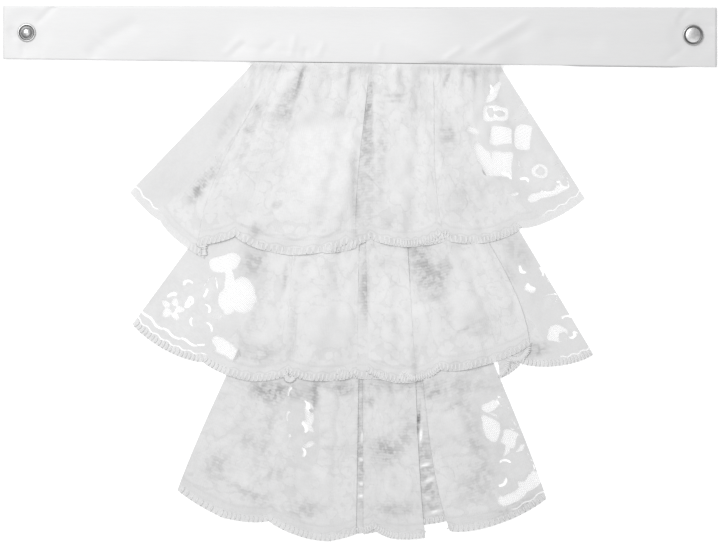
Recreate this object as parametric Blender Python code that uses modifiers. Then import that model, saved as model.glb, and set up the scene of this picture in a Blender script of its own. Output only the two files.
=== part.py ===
"""A lace jabot collar laid flat: three gathered lace tiers on a satin neckband that closes with a snap.

Sizes are in millimetres until the meshes are made. X runs along the neckband, Y from the hems towards the
neckband and Z up from the surface that the collar lies on. A drop is a distance down from the middle of the
neckband's lower edge.
"""
import math
from collections import namedtuple

import bmesh
import bpy
import numpy as np

MM = 0.001
COLLECTION_NAME = "lace_jabot_collar"

# Whole collar
OVERALL_LENGTH = 301.2
SEAM_GAP = 0.3
WALL = 1.0
LAYER_STEP = 1.5

# Neckband
BAND_LENGTH = 400.5
BAND_HEIGHT_LEFT = 30.2
BAND_HEIGHT_RIGHT = 33.6
BAND_TILT = 0.0030
BAND_THICKNESS = 2.4
BAND_SWELL = 2.9
BAND_SWELL_REACH = 66.0
BAND_SWELL_FADE = 18.0
BAND_SECTION_STEP = 10.0
BAND_FOLD_ROUND = 1.2
BAND_GROOVE_DEPTH = 2.5
BAND_UNDER_PEEK = 0.5
BAND_PEEK_FROM = 112.0
BAND_PEEK_TO = 186.0

# Backing
BACKING_HALF_WIDTH = 56.0
BACKING_END_DROP = 163.0

# Snap halves
SNAP_SPACING = 374.0
STUD_DROP = -17.0
CAP_DROP = -15.6
SNAP_STEPS = 20
SNAP_PINCH = 0.5
SNAP_PINCH_RADIUS = 8.0
STUD_RADIUS = 5.1
CAP_RADIUS = 5.8
SNAP_RING_RADIUS = 5.0
SNAP_RING_HEIGHT = 0.75
SNAP_POST_RADIUS = 2.0
SNAP_FIT = 0.35

# Lace tiers
SCALLOP_DEPTH = 5.0
GATHER_WIDTH = 7.0
HIDDEN_GATHER_WIDTH = 13.0
GATHER_CALM = 6.0
GATHER_HEIGHT = 0.5
GATHER_REACH = 0.30
SEAM_STEP = 2.6
HIDDEN_SEAM_STEP = 4.5
HEM_STEP = 8.5
CREASE_REACH = 0.36
TURN_SEGMENTS = 4
ROW_FRACTIONS = (0.0, 0.06, 0.14, 0.25, 0.36, 0.47, 0.58, 0.69, 0.80, 0.90, 1.0)

# A crease runs from the seam to the hem of a tier. Seam x, hem x and hem drop place its two ends, and bow
# swings it sideways below its middle. Layer counts cloth layers under it, and turn is +1 or -1 where the
# lace folds back over or under itself. Ridge lifts the lace beside the seam, in layers, and scallop is the
# count of hem scallops up to the crease.
Crease = namedtuple("Crease", "name seam_x hem_x hem_drop bow layer turn ridge scallop")

UPPER_SEAM_DROP = 0.0
UPPER_CREASES = (
    Crease("left_edge", -59.5, -126.0, 69.0, 0.0, 0.0, 0, 0.0, 0.60),
    Crease("outer_cusp", -55.0, -112.2, 88.4, -1.0, 0.0, 0, 0.0, 1.00),
    Crease("side_return", -43.5, -85.5, 105.3, -6.0, 0.0, 1, 0.0, 1.65),
    Crease("side_fold", -47.7, -89.2, 98.0, -6.0, 1.0, 1, 0.0, 2.60),
    Crease("left_cusp", -42.0, -70.1, 97.1, -4.0, 2.0, 0, 0.0, 3.00),
    Crease("groove_left", -32.0, -62.0, 99.0, 0.0, 1.7, 0, 0.5, 3.15),
    Crease("groove_middle", -29.8, -56.0, 100.5, 0.0, 1.4, 0, -1.4, 3.25),
    Crease("groove_right", -28.0, -51.0, 101.0, 0.0, 1.0, 0, 0.8, 3.35),
    Crease("sag", -16.0, -38.0, 103.0, 0.0, 0.7, 0, 0.6, 3.55),
    Crease("centre_rise", -4.0, -24.0, 103.0, 0.0, 1.9, 0, 0.0, 3.75),
    Crease("centre_fold", 5.6, -1.9, 101.5, -2.0, 2.0, -1, 0.0, 4.10),
    Crease("centre_return", 0.0, -19.6, 102.0, -2.0, 1.0, -1, 0.0, 4.50),
    Crease("valley_cusp", 6.0, 5.6, 98.7, -1.0, 0.0, 0, 0.0, 5.00),
    Crease("pleat_step", 7.5, 12.9, 98.7, 1.0, 0.9, 0, 0.6, 5.12),
    Crease("pleat_left", 14.0, 20.0, 98.7, 0.0, 1.9, 0, 0.0, 5.25),
    Crease("pleat_right", 41.0, 47.7, 97.6, -3.0, 2.0, -1, 0.0, 6.10),
    Crease("pleat_return", 36.5, 32.5, 97.6, -2.0, 1.0, -1, 0.0, 6.50),
    Crease("right_groove", 47.5, 51.0, 98.0, 0.0, 0.0, 0, 0.0, 7.10),
    Crease("right_rise", 51.5, 60.0, 97.5, 0.0, 0.3, 0, 1.0, 7.25),
    Crease("right_cusp", 66.0, 90.3, 92.6, 0.0, 0.0, 0, 0.0, 8.00),
    Crease("right_edge", 78.5, 124.5, 73.0, 0.0, 0.0, 0, 0.0, 8.80),
)

MIDDLE_SEAM_DROP = 55.0
MIDDLE_CREASES = (
    Crease("left_edge", -60.6, -127.0, 145.5, 0.0, 0.0, 0, 0.0, 0.05),
    Crease("left_cusp", -50.0, -88.1, 167.7, 0.0, 0.0, 0, 0.0, 1.00),
    Crease("hollow", -40.0, -60.0, 174.0, 0.0, 0.4, 0, 0.0, 1.60),
    Crease("side_return", -30.0, -36.5, 175.5, 0.0, 0.0, 1, 0.0, 2.10),
    Crease("side_fold", -34.0, -42.6, 174.5, 0.0, 1.0, 1, 0.0, 2.95),
    Crease("left_panel", -20.0, -27.0, 174.0, 0.0, 1.75, 0, 0.0, 3.30),
    Crease("centre_rise", -9.0, -17.0, 173.5, 0.0, 1.9, 0, 0.0, 3.50),
    Crease("centre_fold", 0.5, -1.6, 173.5, 0.0, 2.0, -1, 0.0, 3.90),
    Crease("centre_return", -5.5, -13.0, 173.0, 0.0, 1.0, -1, 0.0, 4.10),
    Crease("pleat_return", 8.5, 14.5, 172.5, 0.0, 0.0, 1, 0.0, 4.60),
    Crease("pleat_left", 2.5, 4.6, 174.0, 0.0, 1.0, 1, 0.0, 5.00),
    Crease("pleat_middle", 13.5, 20.0, 175.0, 0.0, 1.95, 0, 0.0, 5.35),
    Crease("pleat_right", 24.0, 31.2, 174.5, 0.0, 2.0, -1, 0.0, 5.65),
    Crease("right_return", 18.5, 22.0, 175.0, 0.0, 1.0, -1, 0.0, 6.15),
    Crease("right_cusp", 31.0, 45.0, 172.0, 0.0, 0.3, 0, 0.0, 7.00),
    Crease("outer_rise", 36.0, 64.5, 166.0, 3.0, 1.9, 0, 0.0, 7.45),
    Crease("outer_fold", 46.0, 95.5, 158.0, 6.0, 2.0, -1, 0.0, 8.00),
    Crease("outer_return", 38.5, 77.0, 172.5, 5.0, 1.0, -1, 0.0, 9.60),
    Crease("outer_cusp", 50.0, 90.3, 168.5, 2.0, 0.0, 0, 0.0, 10.00),
    Crease("right_edge", 66.2, 130.5, 162.5, 0.0, 0.0, 0, 0.0, 10.95),
)

LOWER_SEAM_DROP = 148.0
LOWER_CREASES = (
    Crease("left_edge", -62.8, -102.0, 238.5, -1.0, 0.0, 0, 0.0, 0.05),
    Crease("left_hollow", -45.0, -76.0, 250.5, 0.0, 0.3, 0, 0.0, 0.50),
    Crease("left_cusp", -32.0, -51.3, 257.0, 0.0, 0.8, 0, 0.0, 1.00),
    Crease("left_panel", -18.0, -28.0, 262.5, 0.0, 0.6, 0, 0.0, 1.45),
    Crease("centre_rise", -9.0, -17.5, 264.0, 0.0, 1.9, 0, 0.0, 1.65),
    Crease("centre_fold", 0.0, -2.0, 263.0, 0.0, 2.0, -1, 0.0, 1.95),
    Crease("centre_return", -6.0, -13.0, 261.0, 0.0, 1.0, -1, 0.0, 2.20),
    Crease("pleat_return", 8.0, 11.0, 258.0, 0.0, 0.0, 1, 0.0, 2.60),
    Crease("pleat_left", 1.5, 1.8, 261.0, 0.0, 1.0, 1, 0.0, 2.80),
    Crease("pleat_middle", 14.0, 18.0, 262.5, 0.0, 1.85, 0, 0.0, 3.35),
    Crease("pleat_right", 30.0, 36.6, 263.0, -1.0, 2.0, -1, 0.0, 3.80),
    Crease("gap_return", 23.5, 23.0, 256.0, -1.0, 1.0, -1, 0.0, 4.20),
    Crease("right_return", 37.5, 59.0, 251.5, 0.0, 0.0, 1, 0.0, 4.90),
    Crease("right_fold", 31.5, 50.2, 262.5, -3.0, 1.0, 1, 0.0, 5.00),
    Crease("right_panel", 43.0, 64.0, 258.5, 0.0, 1.85, 0, 0.0, 5.25),
    Crease("right_middle", 54.0, 84.0, 251.5, 0.0, 0.3, 0, 0.0, 5.60),
    Crease("right_edge", 66.8, 104.3, 243.3, 1.0, 0.0, 0, 0.0, 5.95),
)

# Height map of what a tier lies on
MAP_STEP = 1.5
MAP_HALF_X = 210.0
MAP_HALF_Y = 160.0
MAP_SPREAD = 12.0
MAP_BLUR = 9.0
MAP_SAMPLES = 4

SATIN_COLOUR = (0.90, 0.90, 0.91, 1.0)
LACE_COLOUR = (0.92, 0.92, 0.92, 1.0)
BACKING_COLOUR = (0.88, 0.88, 0.88, 1.0)
METAL_COLOUR = (0.62, 0.62, 0.61, 1.0)


def clear_scene():
    """Remove what the scene holds."""
    for item in list(bpy.data.objects):
        bpy.data.objects.remove(item, do_unlink=True)


def make_material(name, colour, roughness, metallic=0.0):
    """A Principled material."""
    material = bpy.data.materials.new(name)
    material.use_nodes = True
    shader = material.node_tree.nodes["Principled BSDF"]
    shader.inputs["Base Color"].default_value = colour
    shader.inputs["Roughness"].default_value = roughness
    shader.inputs["Metallic"].default_value = metallic
    return material


def add_object(name, mesh, material, collection):
    """An object of the collar in its collection."""
    item = bpy.data.objects.new(name, mesh)
    item.data.materials.append(material)
    collection.objects.link(item)
    return item


def smoothstep(value):
    """A rise from 0 to 1 with level ends."""
    value = min(max(value, 0.0), 1.0)
    return value * value * (3.0 - 2.0 * value)


def mix(first, second, share):
    """A value between two others."""
    return first + (second - first) * share


def band_top(x):
    """Height on the page of the neckband's upper edge."""
    return band_bottom(0.0) + mix(BAND_HEIGHT_LEFT, BAND_HEIGHT_RIGHT, 0.5) - BAND_TILT * x


def band_bottom(x):
    """Height on the page of the neckband's lower edge."""
    upper_corner = OVERALL_LENGTH / 2
    middle = upper_corner - BAND_TILT * BAND_LENGTH / 2 - mix(BAND_HEIGHT_LEFT, BAND_HEIGHT_RIGHT, 0.5)
    widening = (BAND_HEIGHT_RIGHT - BAND_HEIGHT_LEFT) / BAND_LENGTH
    return middle - (BAND_TILT + widening) * x


def page_y(drop):
    """The page height of a drop below the middle of the neckband's lower edge."""
    return band_bottom(0.0) - drop


# Height maps

def empty_map():
    """A map of nothing."""
    return np.zeros((round(2 * MAP_HALF_X / MAP_STEP) + 1, round(2 * MAP_HALF_Y / MAP_STEP) + 1))


def map_cell(x, y):
    """The map's fractional cell at a point."""
    return (x + MAP_HALF_X) / MAP_STEP, (y + MAP_HALF_Y) / MAP_STEP


def map_block(heights, low, high, height):
    """Raise a rectangle of the map."""
    first = [round(value) for value in map_cell(*low)]
    last = [round(value) for value in map_cell(*high)]
    block = heights[first[0]:last[0] + 1, first[1]:last[1] + 1]
    np.maximum(block, height, out=block)


def map_surface(heights, grid):
    """Raise the map to a surface given as rows of points."""
    shares = [index / MAP_SAMPLES for index in range(MAP_SAMPLES + 1)]
    points = np.array(grid)
    for across in shares:
        for along in shares:
            near = mix(points[:-1, :-1], points[:-1, 1:], across)
            far = mix(points[1:, :-1], points[1:, 1:], across)
            spots = mix(near, far, along).reshape(-1, 3)
            cells = np.rint((spots[:, :2] + (MAP_HALF_X, MAP_HALF_Y)) / MAP_STEP).astype(int)
            np.maximum.at(heights, (cells[:, 0], cells[:, 1]), spots[:, 2] + WALL / 2)


def shifted(heights, reach):
    """The map moved by each whole step within a round reach."""
    cells = round(reach / MAP_STEP)
    for step_x in range(-cells, cells + 1):
        for step_y in range(-cells, cells + 1):
            if step_x ** 2 + step_y ** 2 <= cells ** 2 + 1:
                yield np.roll(heights, (step_x, step_y), axis=(0, 1))


def draped(heights):
    """A soft cover that never dips under the map: spread wide, then averaged over a shorter reach."""
    spread = np.maximum.reduce(list(shifted(heights, MAP_SPREAD)))
    return np.mean(list(shifted(spread, MAP_BLUR)), axis=0)


def cover_height(cover, x, y):
    """The cover's height at a point."""
    column, row = map_cell(x, y)
    left, low = int(column), int(row)
    near = mix(cover[left, low], cover[left + 1, low], column - left)
    far = mix(cover[left, low + 1], cover[left + 1, low + 1], column - left)
    return mix(near, far, row - low)


# Lace tiers

def scallop(count):
    """How far the hem hangs below the line through its cusps."""
    across = 2.0 * (count % 1.0) - 1.0
    return SCALLOP_DEPTH * (1.0 - across * across) ** 0.75


def gather(x, fraction, width, turns):
    """The small gathers beside the seam, pressed flat where the lace folds over itself."""
    fade = max(0.0, 1.0 - fraction / GATHER_REACH) ** 1.5
    for turn_x in turns:
        fade *= smoothstep((abs(x - turn_x) - 1.0) / GATHER_CALM)
    phase = 2 * math.pi * x / width + 0.9 * math.sin(x / 9.0)
    return GATHER_HEIGHT * (1.0 + math.cos(phase)) * fade


def crease_point(crease, seam_drop, in_band, fraction):
    """The point of a crease at a fraction of the way from the seam to the hem."""
    seam_y = page_y(seam_drop)
    if in_band:
        seam_y = band_bottom(crease.seam_x) - band_peek(crease.seam_x) - SEAM_GAP
    run_x = crease.hem_x - crease.seam_x
    run_y = page_y(crease.hem_drop) - seam_y
    reach = 1.0 + scallop(crease.scallop) * fraction ** 5 / math.hypot(run_x, run_y)
    sideways = crease.bow * 6.75 * fraction ** 2 * (1.0 - fraction)
    return (crease.seam_x + run_x * fraction * reach + sideways, seam_y + run_y * fraction * reach)


def between(first, second, share):
    """A crease part of the way from one crease to the next."""
    values = [mix(a, b, share) for a, b in zip(first[1:], second[1:])]
    return Crease("between", *values)


def tier_row(creases, seam_drop, in_band, fraction, cover):
    """One row of a tier's middle surface, from its left edge to its right edge."""
    turn_radius = LAYER_STEP / 2
    gather_width = GATHER_WIDTH if in_band else HIDDEN_GATHER_WIDTH
    row = []

    def place(spot, level, ridge):
        fade = max(0.0, 1.0 - fraction / CREASE_REACH)
        rest = cover_height(cover, *spot)
        height = rest + min(rest, SEAM_GAP) + WALL / 2 + LAYER_STEP * (level + ridge * fade)
        row.append((*spot, height + gather(spot[0], fraction, gather_width, turns)))

    def spot_of(crease):
        return np.array(crease_point(crease, seam_drop, in_band, fraction))

    def slant_of(crease):
        after = np.array(crease_point(crease, seam_drop, in_band, fraction + 0.02))
        run = after - spot_of(crease)
        return math.hypot(*run) / abs(run[1])

    turns = [spot_of(crease)[0] for crease in creases if crease.turn]

    for index, crease in enumerate(creases):
        spot = spot_of(crease)
        if crease.turn:
            inward = spot_of(creases[index - 1]) - spot
            inward[1] = 0.0
            inward = inward / np.linalg.norm(inward) * slant_of(crease)
            centre = spot + inward * (turn_radius + WALL / 2)
            for step in range(TURN_SEGMENTS + 1):
                angle = math.pi * step / TURN_SEGMENTS
                out = centre - inward * turn_radius * math.sin(angle)
                level = crease.layer + crease.turn * (1.0 - math.cos(angle)) / 2
                place(out, level, crease.ridge)
        else:
            place(spot, crease.layer, crease.ridge)
        if index + 1 == len(creases):
            break
        following = creases[index + 1]
        start = crease._replace(layer=crease.layer + crease.turn, turn=0)
        steps = panel_steps(crease, following, SEAM_STEP if in_band else HIDDEN_SEAM_STEP)
        for step in range(1, steps):
            share = step / steps
            if crease.turn or following.turn:
                share = mix(0.06, 0.94, share)
            middle = between(start, following, share)
            level = mix(start.layer, following.layer, smoothstep(share))
            place(spot_of(middle), level, mix(start.ridge, following.ridge, smoothstep(share)))
    return row


def panel_steps(first, second, seam_step):
    """How many strips a panel between two creases takes."""
    seam_run = abs(second.seam_x - first.seam_x)
    hem_run = math.hypot(second.hem_x - first.hem_x, second.hem_drop - first.hem_drop)
    return max(2, math.ceil(seam_run / seam_step), math.ceil(hem_run / HEM_STEP))


def tier_grid(creases, seam_drop, in_band, cover):
    """All rows of a tier's middle surface."""
    return [tier_row(creases, seam_drop, in_band, fraction, cover) for fraction in ROW_FRACTIONS]


def make_sheet(name, grid, material, collection):
    """A cloth wall around a surface given as rows of points."""
    form = bmesh.new()
    rows = [[form.verts.new([value * MM for value in point]) for point in row] for row in grid]
    for upper, lower in zip(rows, rows[1:]):
        for index in range(len(upper) - 1):
            form.faces.new((upper[index], lower[index], lower[index + 1], upper[index + 1]))
    mesh = bpy.data.meshes.new(name)
    form.to_mesh(mesh)
    form.free()
    mesh.shade_smooth()
    sheet = add_object(name, mesh, material, collection)
    wall = sheet.modifiers.new("cloth wall", "SOLIDIFY")
    wall.thickness = WALL * MM
    wall.offset = 0.0
    wall.use_even_offset = True
    return sheet


# Neckband

def band_peek(x):
    """How far the under leaf shows below the upper one."""
    inside = smoothstep((x - BAND_PEEK_FROM) / 12.0) * smoothstep((BAND_PEEK_TO - x) / 12.0)
    return BAND_UNDER_PEEK * inside


def band_front(x, share):
    """The front's height at a share of the way from the lower edge to the upper edge."""
    swell = BAND_SWELL * smoothstep((BAND_SWELL_REACH + BAND_SWELL_FADE - abs(x - 8.0)) / BAND_SWELL_FADE)
    height = BAND_THICKNESS + swell * (1.0 - smoothstep(share / 0.85))
    y = mix(band_bottom(x), band_top(x), share)
    for snap_x, snap_y in snap_spots():
        distance = math.hypot(x - snap_x, y - snap_y)
        height -= SNAP_PINCH * smoothstep(2.0 - distance / SNAP_PINCH_RADIUS)
    return height


def snap_spots():
    """Where the two snap halves sit."""
    return ((-SNAP_SPACING / 2, page_y(STUD_DROP)), (SNAP_SPACING / 2, page_y(CAP_DROP)))


def band_section(x):
    """The neckband's closed section, from the under leaf's lower corner round the upper fold."""
    low, top = band_bottom(x), band_top(x)
    points = [(low - band_peek(x), 0.0), (mix(low, top, 0.5), 0.0), (top - BAND_FOLD_ROUND, 0.0)]
    crown = band_front(x, 1.0)
    for step in range(1, 4):
        angle = math.pi * step / 4
        points.append((top - BAND_FOLD_ROUND * (1.0 - math.sin(angle)), crown * (1.0 - math.cos(angle)) / 2))
    for share in (0.95, 0.8, 0.62, 0.45, 0.28, 0.12):
        points.append((mix(low, top, share), band_front(x, share)))
    lip = band_front(x, 0.0)
    points.append((low + 0.35, lip))
    points.append((low, lip - 0.4))
    points.append((low + 0.2, lip - WALL))
    points.append((low + BAND_GROOVE_DEPTH, mix(WALL, lip - WALL, 0.5)))
    points.append((low - band_peek(x), WALL - 0.15))
    return points


def band_stations():
    """Where the neckband's sections stand, closer together round the snap halves."""
    count = round(BAND_LENGTH / BAND_SECTION_STEP)
    stations = [BAND_LENGTH * (index / count - 0.5) for index in range(count + 1)]
    for side in (-1, 1):
        stations.append(side * (BAND_LENGTH / 2 - BAND_SECTION_STEP / 2))
        stations.append(side * (BAND_LENGTH / 2 - BAND_SECTION_STEP * 1.5))
    return sorted(stations)


def make_band(material, collection):
    """The folded neckband, holed and recessed for the snap halves."""
    form = bmesh.new()
    loops = []
    for x in band_stations():
        loops.append([form.verts.new((x * MM, y * MM, z * MM)) for y, z in band_section(x)])
    for left, right in zip(loops, loops[1:]):
        for index, start in enumerate(left):
            after = (index + 1) % len(left)
            form.faces.new((start, right[index], right[after], left[after]))
    form.faces.new(loops[0])
    form.faces.new(list(reversed(loops[-1])))
    bmesh.ops.recalc_face_normals(form, faces=form.faces)
    mesh = bpy.data.meshes.new("neckband")
    form.to_mesh(mesh)
    form.free()
    band = add_object("neckband", mesh, material, collection)
    return band


def make_cutter(name, radius, bottom, top, spot, collection):
    """A round cutter, kept out of the collar."""
    form = bmesh.new()
    bmesh.ops.create_cone(form, cap_ends=True, segments=SNAP_STEPS, radius1=radius * MM,
                          radius2=radius * MM, depth=(top - bottom) * MM)
    mesh = bpy.data.meshes.new(name)
    form.to_mesh(mesh)
    form.free()
    cutter = bpy.data.objects.new(name, mesh)
    cutter.location = (spot[0] * MM, spot[1] * MM, mix(bottom, top, 0.5) * MM)
    cutter.hide_render = True
    cutter.display_type = "WIRE"
    collection.objects.link(cutter)
    return cutter


def cut(item, cutter):
    """Take a cutter out of a solid."""
    modifier = item.modifiers.new(cutter.name, "BOOLEAN")
    modifier.operation = "DIFFERENCE"
    modifier.object = cutter


# Backing

def make_backing(material, collection):
    """The plain panel that hangs from the neckband and carries the two lower tiers."""
    low = page_y(BACKING_END_DROP)
    corners = [
        (-BACKING_HALF_WIDTH, low),
        (BACKING_HALF_WIDTH, low),
        (BACKING_HALF_WIDTH, band_bottom(BACKING_HALF_WIDTH) - SEAM_GAP),
        (-BACKING_HALF_WIDTH, band_bottom(-BACKING_HALF_WIDTH) - SEAM_GAP),
    ]
    outline = bpy.data.curves.new("backing", "CURVE")
    outline.dimensions = "2D"
    outline.fill_mode = "BOTH"
    outline.extrude = WALL / 2 * MM
    spline = outline.splines.new("POLY")
    spline.points.add(len(corners) - 1)
    for point, (x, y) in zip(spline.points, corners):
        point.co = (x * MM, y * MM, 0.0, 1.0)
    spline.use_cyclic_u = True
    panel = add_object("backing", outline, material, collection)
    panel.location.z = WALL / 2 * MM
    return panel


# Snap halves

def make_turned(name, profile, spot, material, collection):
    """A turned metal piece from its radius and height points, top to bottom."""
    mesh = bpy.data.meshes.new(name)
    points = [(radius * MM, 0.0, height * MM) for radius, height in profile]
    mesh.from_pydata(points, [(index, index + 1) for index in range(len(points) - 1)], [])
    piece = add_object(name, mesh, material, collection)
    piece.location = (spot[0] * MM, spot[1] * MM, 0.0)
    turn = piece.modifiers.new("turn", "SCREW")
    turn.steps = SNAP_STEPS
    turn.render_steps = SNAP_STEPS
    turn.use_merge_vertices = True
    turn.merge_threshold = 0.00001
    turn.use_smooth_shade = True
    return piece


def snap_seat():
    """The height that a front piece's flange stands at."""
    return BAND_THICKNESS - SNAP_PINCH + SEAM_GAP


def make_snaps(material, collection):
    """The stud half on the left end and the socket half on the right end."""
    seat = snap_seat()
    stud_spot, cap_spot = snap_spots()
    stud = [
        (0.0, seat + 2.0), (1.3, seat + 1.8), (2.4, seat + 1.2), (3.1, seat + 0.5), (3.9, seat + 0.35),
        (4.4, seat + 0.75), (STUD_RADIUS, seat + 0.35), (STUD_RADIUS - 0.3, seat),
        (SNAP_POST_RADIUS, seat), (SNAP_POST_RADIUS, SNAP_FIT), (0.0, SNAP_FIT),
    ]
    make_turned("snap_stud", stud, stud_spot, material, collection)
    bore = SNAP_POST_RADIUS + SNAP_FIT
    ring = [
        (bore, SNAP_RING_HEIGHT), (SNAP_RING_RADIUS - 0.3, SNAP_RING_HEIGHT),
        (SNAP_RING_RADIUS, SNAP_RING_HEIGHT / 2), (SNAP_RING_RADIUS - 0.3, 0.0), (bore, 0.0),
        (bore, SNAP_RING_HEIGHT),
    ]
    make_turned("snap_stud_ring", ring, stud_spot, material, collection)
    cap = [
        (0.0, seat + 0.95), (2.4, seat + 0.85), (4.3, seat + 0.5), (4.6, seat + 0.85),
        (5.3, seat + 0.9), (CAP_RADIUS, seat + 0.4), (CAP_RADIUS - 0.3, seat),
        (SNAP_POST_RADIUS, seat), (SNAP_POST_RADIUS, seat - 0.3), (0.0, seat - 0.3),
    ]
    make_turned("snap_cap", cap, cap_spot, material, collection)
    hub = SNAP_POST_RADIUS + SNAP_FIT + 0.25
    hub_top = seat - 0.6
    socket = [
        (0.0, hub_top), (hub, hub_top), (hub, SNAP_RING_HEIGHT), (SNAP_RING_RADIUS - 0.3, SNAP_RING_HEIGHT),
        (SNAP_RING_RADIUS, SNAP_RING_HEIGHT / 2), (SNAP_RING_RADIUS - 0.3, 0.0),
        (SNAP_POST_RADIUS - 0.1, 0.0), (SNAP_POST_RADIUS - 0.1, hub_top - 0.35), (0.0, hub_top - 0.35),
    ]
    make_turned("snap_socket", socket, cap_spot, material, collection)


def seat_snaps(band, collection):
    """Recess and hole the neckband for the snap halves."""
    stud_spot, cap_spot = snap_spots()
    for name, spot, hole in (("stud", stud_spot, SNAP_POST_RADIUS + SNAP_FIT),
                             ("socket", cap_spot, SNAP_POST_RADIUS + 2 * SNAP_FIT + 0.3)):
        recess = make_cutter(f"{name}_recess", SNAP_RING_RADIUS + SNAP_FIT, -1.0,
                             SNAP_RING_HEIGHT + SEAM_GAP, spot, collection)
        bore = make_cutter(f"{name}_bore", hole, -2.0, 2 * BAND_THICKNESS, spot, collection)
        cut(band, recess)
        cut(band, bore)


def main():
    """Build the collar."""
    clear_scene()
    scene = bpy.context.scene
    collar = bpy.data.collections.new(COLLECTION_NAME)
    cutters = bpy.data.collections.new("cutters")
    scene.collection.children.link(collar)
    scene.collection.children.link(cutters)
    satin = make_material("satin", SATIN_COLOUR, 0.38)
    lace = make_material("lace", LACE_COLOUR, 0.75)
    lining = make_material("backing_cloth", BACKING_COLOUR, 0.85)
    metal = make_material("snap_metal", METAL_COLOUR, 0.28, 1.0)

    band = make_band(satin, collar)
    seat_snaps(band, cutters)
    make_backing(lining, collar)
    make_snaps(metal, collar)

    heights = empty_map()
    backing_low = (-BACKING_HALF_WIDTH, page_y(BACKING_END_DROP))
    map_block(heights, backing_low, (BACKING_HALF_WIDTH, band_bottom(0.0)), WALL)
    tiers = (
        ("tier_lower", LOWER_CREASES, LOWER_SEAM_DROP, False),
        ("tier_middle", MIDDLE_CREASES, MIDDLE_SEAM_DROP, False),
        ("tier_upper", UPPER_CREASES, UPPER_SEAM_DROP, True),
    )
    for name, creases, seam_drop, in_band in tiers:
        grid = tier_grid(creases, seam_drop, in_band, draped(heights))
        make_sheet(name, grid, lace, collar)
        map_surface(heights, grid)


main()
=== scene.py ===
# Lace jabot collar laid flat: three gathered lace tiers on a satin neckband that closes with a snap.
# Sizes are millimetres until a mesh is made. x runs along the neckband, y up the page, z towards the viewer.
import math
from collections import namedtuple

import bpy
import numpy as np
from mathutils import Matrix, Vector


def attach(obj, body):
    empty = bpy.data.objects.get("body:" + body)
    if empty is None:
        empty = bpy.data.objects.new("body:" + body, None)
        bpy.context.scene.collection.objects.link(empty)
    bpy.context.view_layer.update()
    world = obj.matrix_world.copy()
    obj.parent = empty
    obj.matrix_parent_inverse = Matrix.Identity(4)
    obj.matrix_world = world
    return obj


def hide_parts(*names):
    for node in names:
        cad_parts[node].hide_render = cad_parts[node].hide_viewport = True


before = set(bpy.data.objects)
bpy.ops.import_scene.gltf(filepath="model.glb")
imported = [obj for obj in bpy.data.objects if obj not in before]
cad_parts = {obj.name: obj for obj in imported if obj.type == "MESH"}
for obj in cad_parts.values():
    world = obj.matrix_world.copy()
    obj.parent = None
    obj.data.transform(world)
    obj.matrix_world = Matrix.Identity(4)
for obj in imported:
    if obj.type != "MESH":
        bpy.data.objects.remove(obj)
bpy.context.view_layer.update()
mm = 0.001
print("frame loaded:", sorted(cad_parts))

whole = {
    "overall": 301.2, "seamGap": 0.3, "wall": 1.0, "lace": 0.2, "clear": 0.1, "layerStep": 1.25, "press": 0.92,
    "pressReach": 6.0,
}

band = {
    "length": 400.5,
    "heightLeft": 30.2,
    "heightRight": 33.6,
    "tilt": 0.003,
    "thickness": 2.4,
    "swell": 2.0,
    "swellReach": 66.0,
    "swellFade": 18.0,
    "foldRound": 1.2,
    "groove": 2.5,
    "peek": 0.5,
    "peekFrom": 112.0,
    "peekTo": 186.0,
    "stationStep": 1.3,
    "snapPinch": 0.5,
    "pinchRadius": 8.0,
}

snaps = {
    "spacing": 374.0,
    "studDrop": -17.0,
    "capDrop": -15.6,
    "ringRadius": 5.0,
    "ringHeight": 0.75,
    "postRadius": 2.0,
    "fit": 0.35,
    "steps": 72,
}

backing = {"halfWidth": 56.0, "endDrop": 163.0, "thickness": 0.6}


# Shared sums

def mix(first, second, share):
    return first + (second - first) * share


def smooth(value):
    value = np.clip(value, 0.0, 1.0)
    return value * value * (3.0 - 2.0 * value)


def bandBottom(x):
    middle = whole["overall"] / 2 - band["tilt"] * band["length"] / 2
    middle -= mix(band["heightLeft"], band["heightRight"], 0.5)
    widening = (band["heightRight"] - band["heightLeft"]) / band["length"]
    return middle - (band["tilt"] + widening) * x


def bandTop(x):
    return bandBottom(0.0) + mix(band["heightLeft"], band["heightRight"], 0.5) - band["tilt"] * x


def bandPeek(x):
    return band["peek"] * smooth((x - band["peekFrom"]) / 12.0) * smooth((band["peekTo"] - x) / 12.0)


def pageY(drop):
    return bandBottom(0.0) - drop


studSpot = (-snaps["spacing"] / 2, pageY(snaps["studDrop"]))
capSpot = (snaps["spacing"] / 2, pageY(snaps["capDrop"]))


def addObject(name, data):
    item = bpy.data.objects.new(name, data)
    bpy.context.scene.collection.objects.link(item)
    return item


def addPiece(name, mesh, material, slot, *nodes):
    piece = addObject(name, mesh)
    if material:
        piece.data.materials.append(material)
    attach(piece, "root")
    if nodes:
        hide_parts(*nodes)
    return piece


def gridMesh(name, points):
    rows, columns = points.shape[:2]
    mesh = bpy.data.meshes.new(name)
    index = np.arange(rows * columns).reshape(rows, columns)
    faces = np.stack([index[:-1, :-1], index[1:, :-1], index[1:, 1:], index[:-1, 1:]], axis=-1)
    mesh.from_pydata((points.reshape(-1, 3) * mm).tolist(), [], faces.reshape(-1, 4).tolist())
    mesh.shade_smooth()
    return mesh


# Materials: a socket that adds its Math nodes when it is reckoned with

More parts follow.
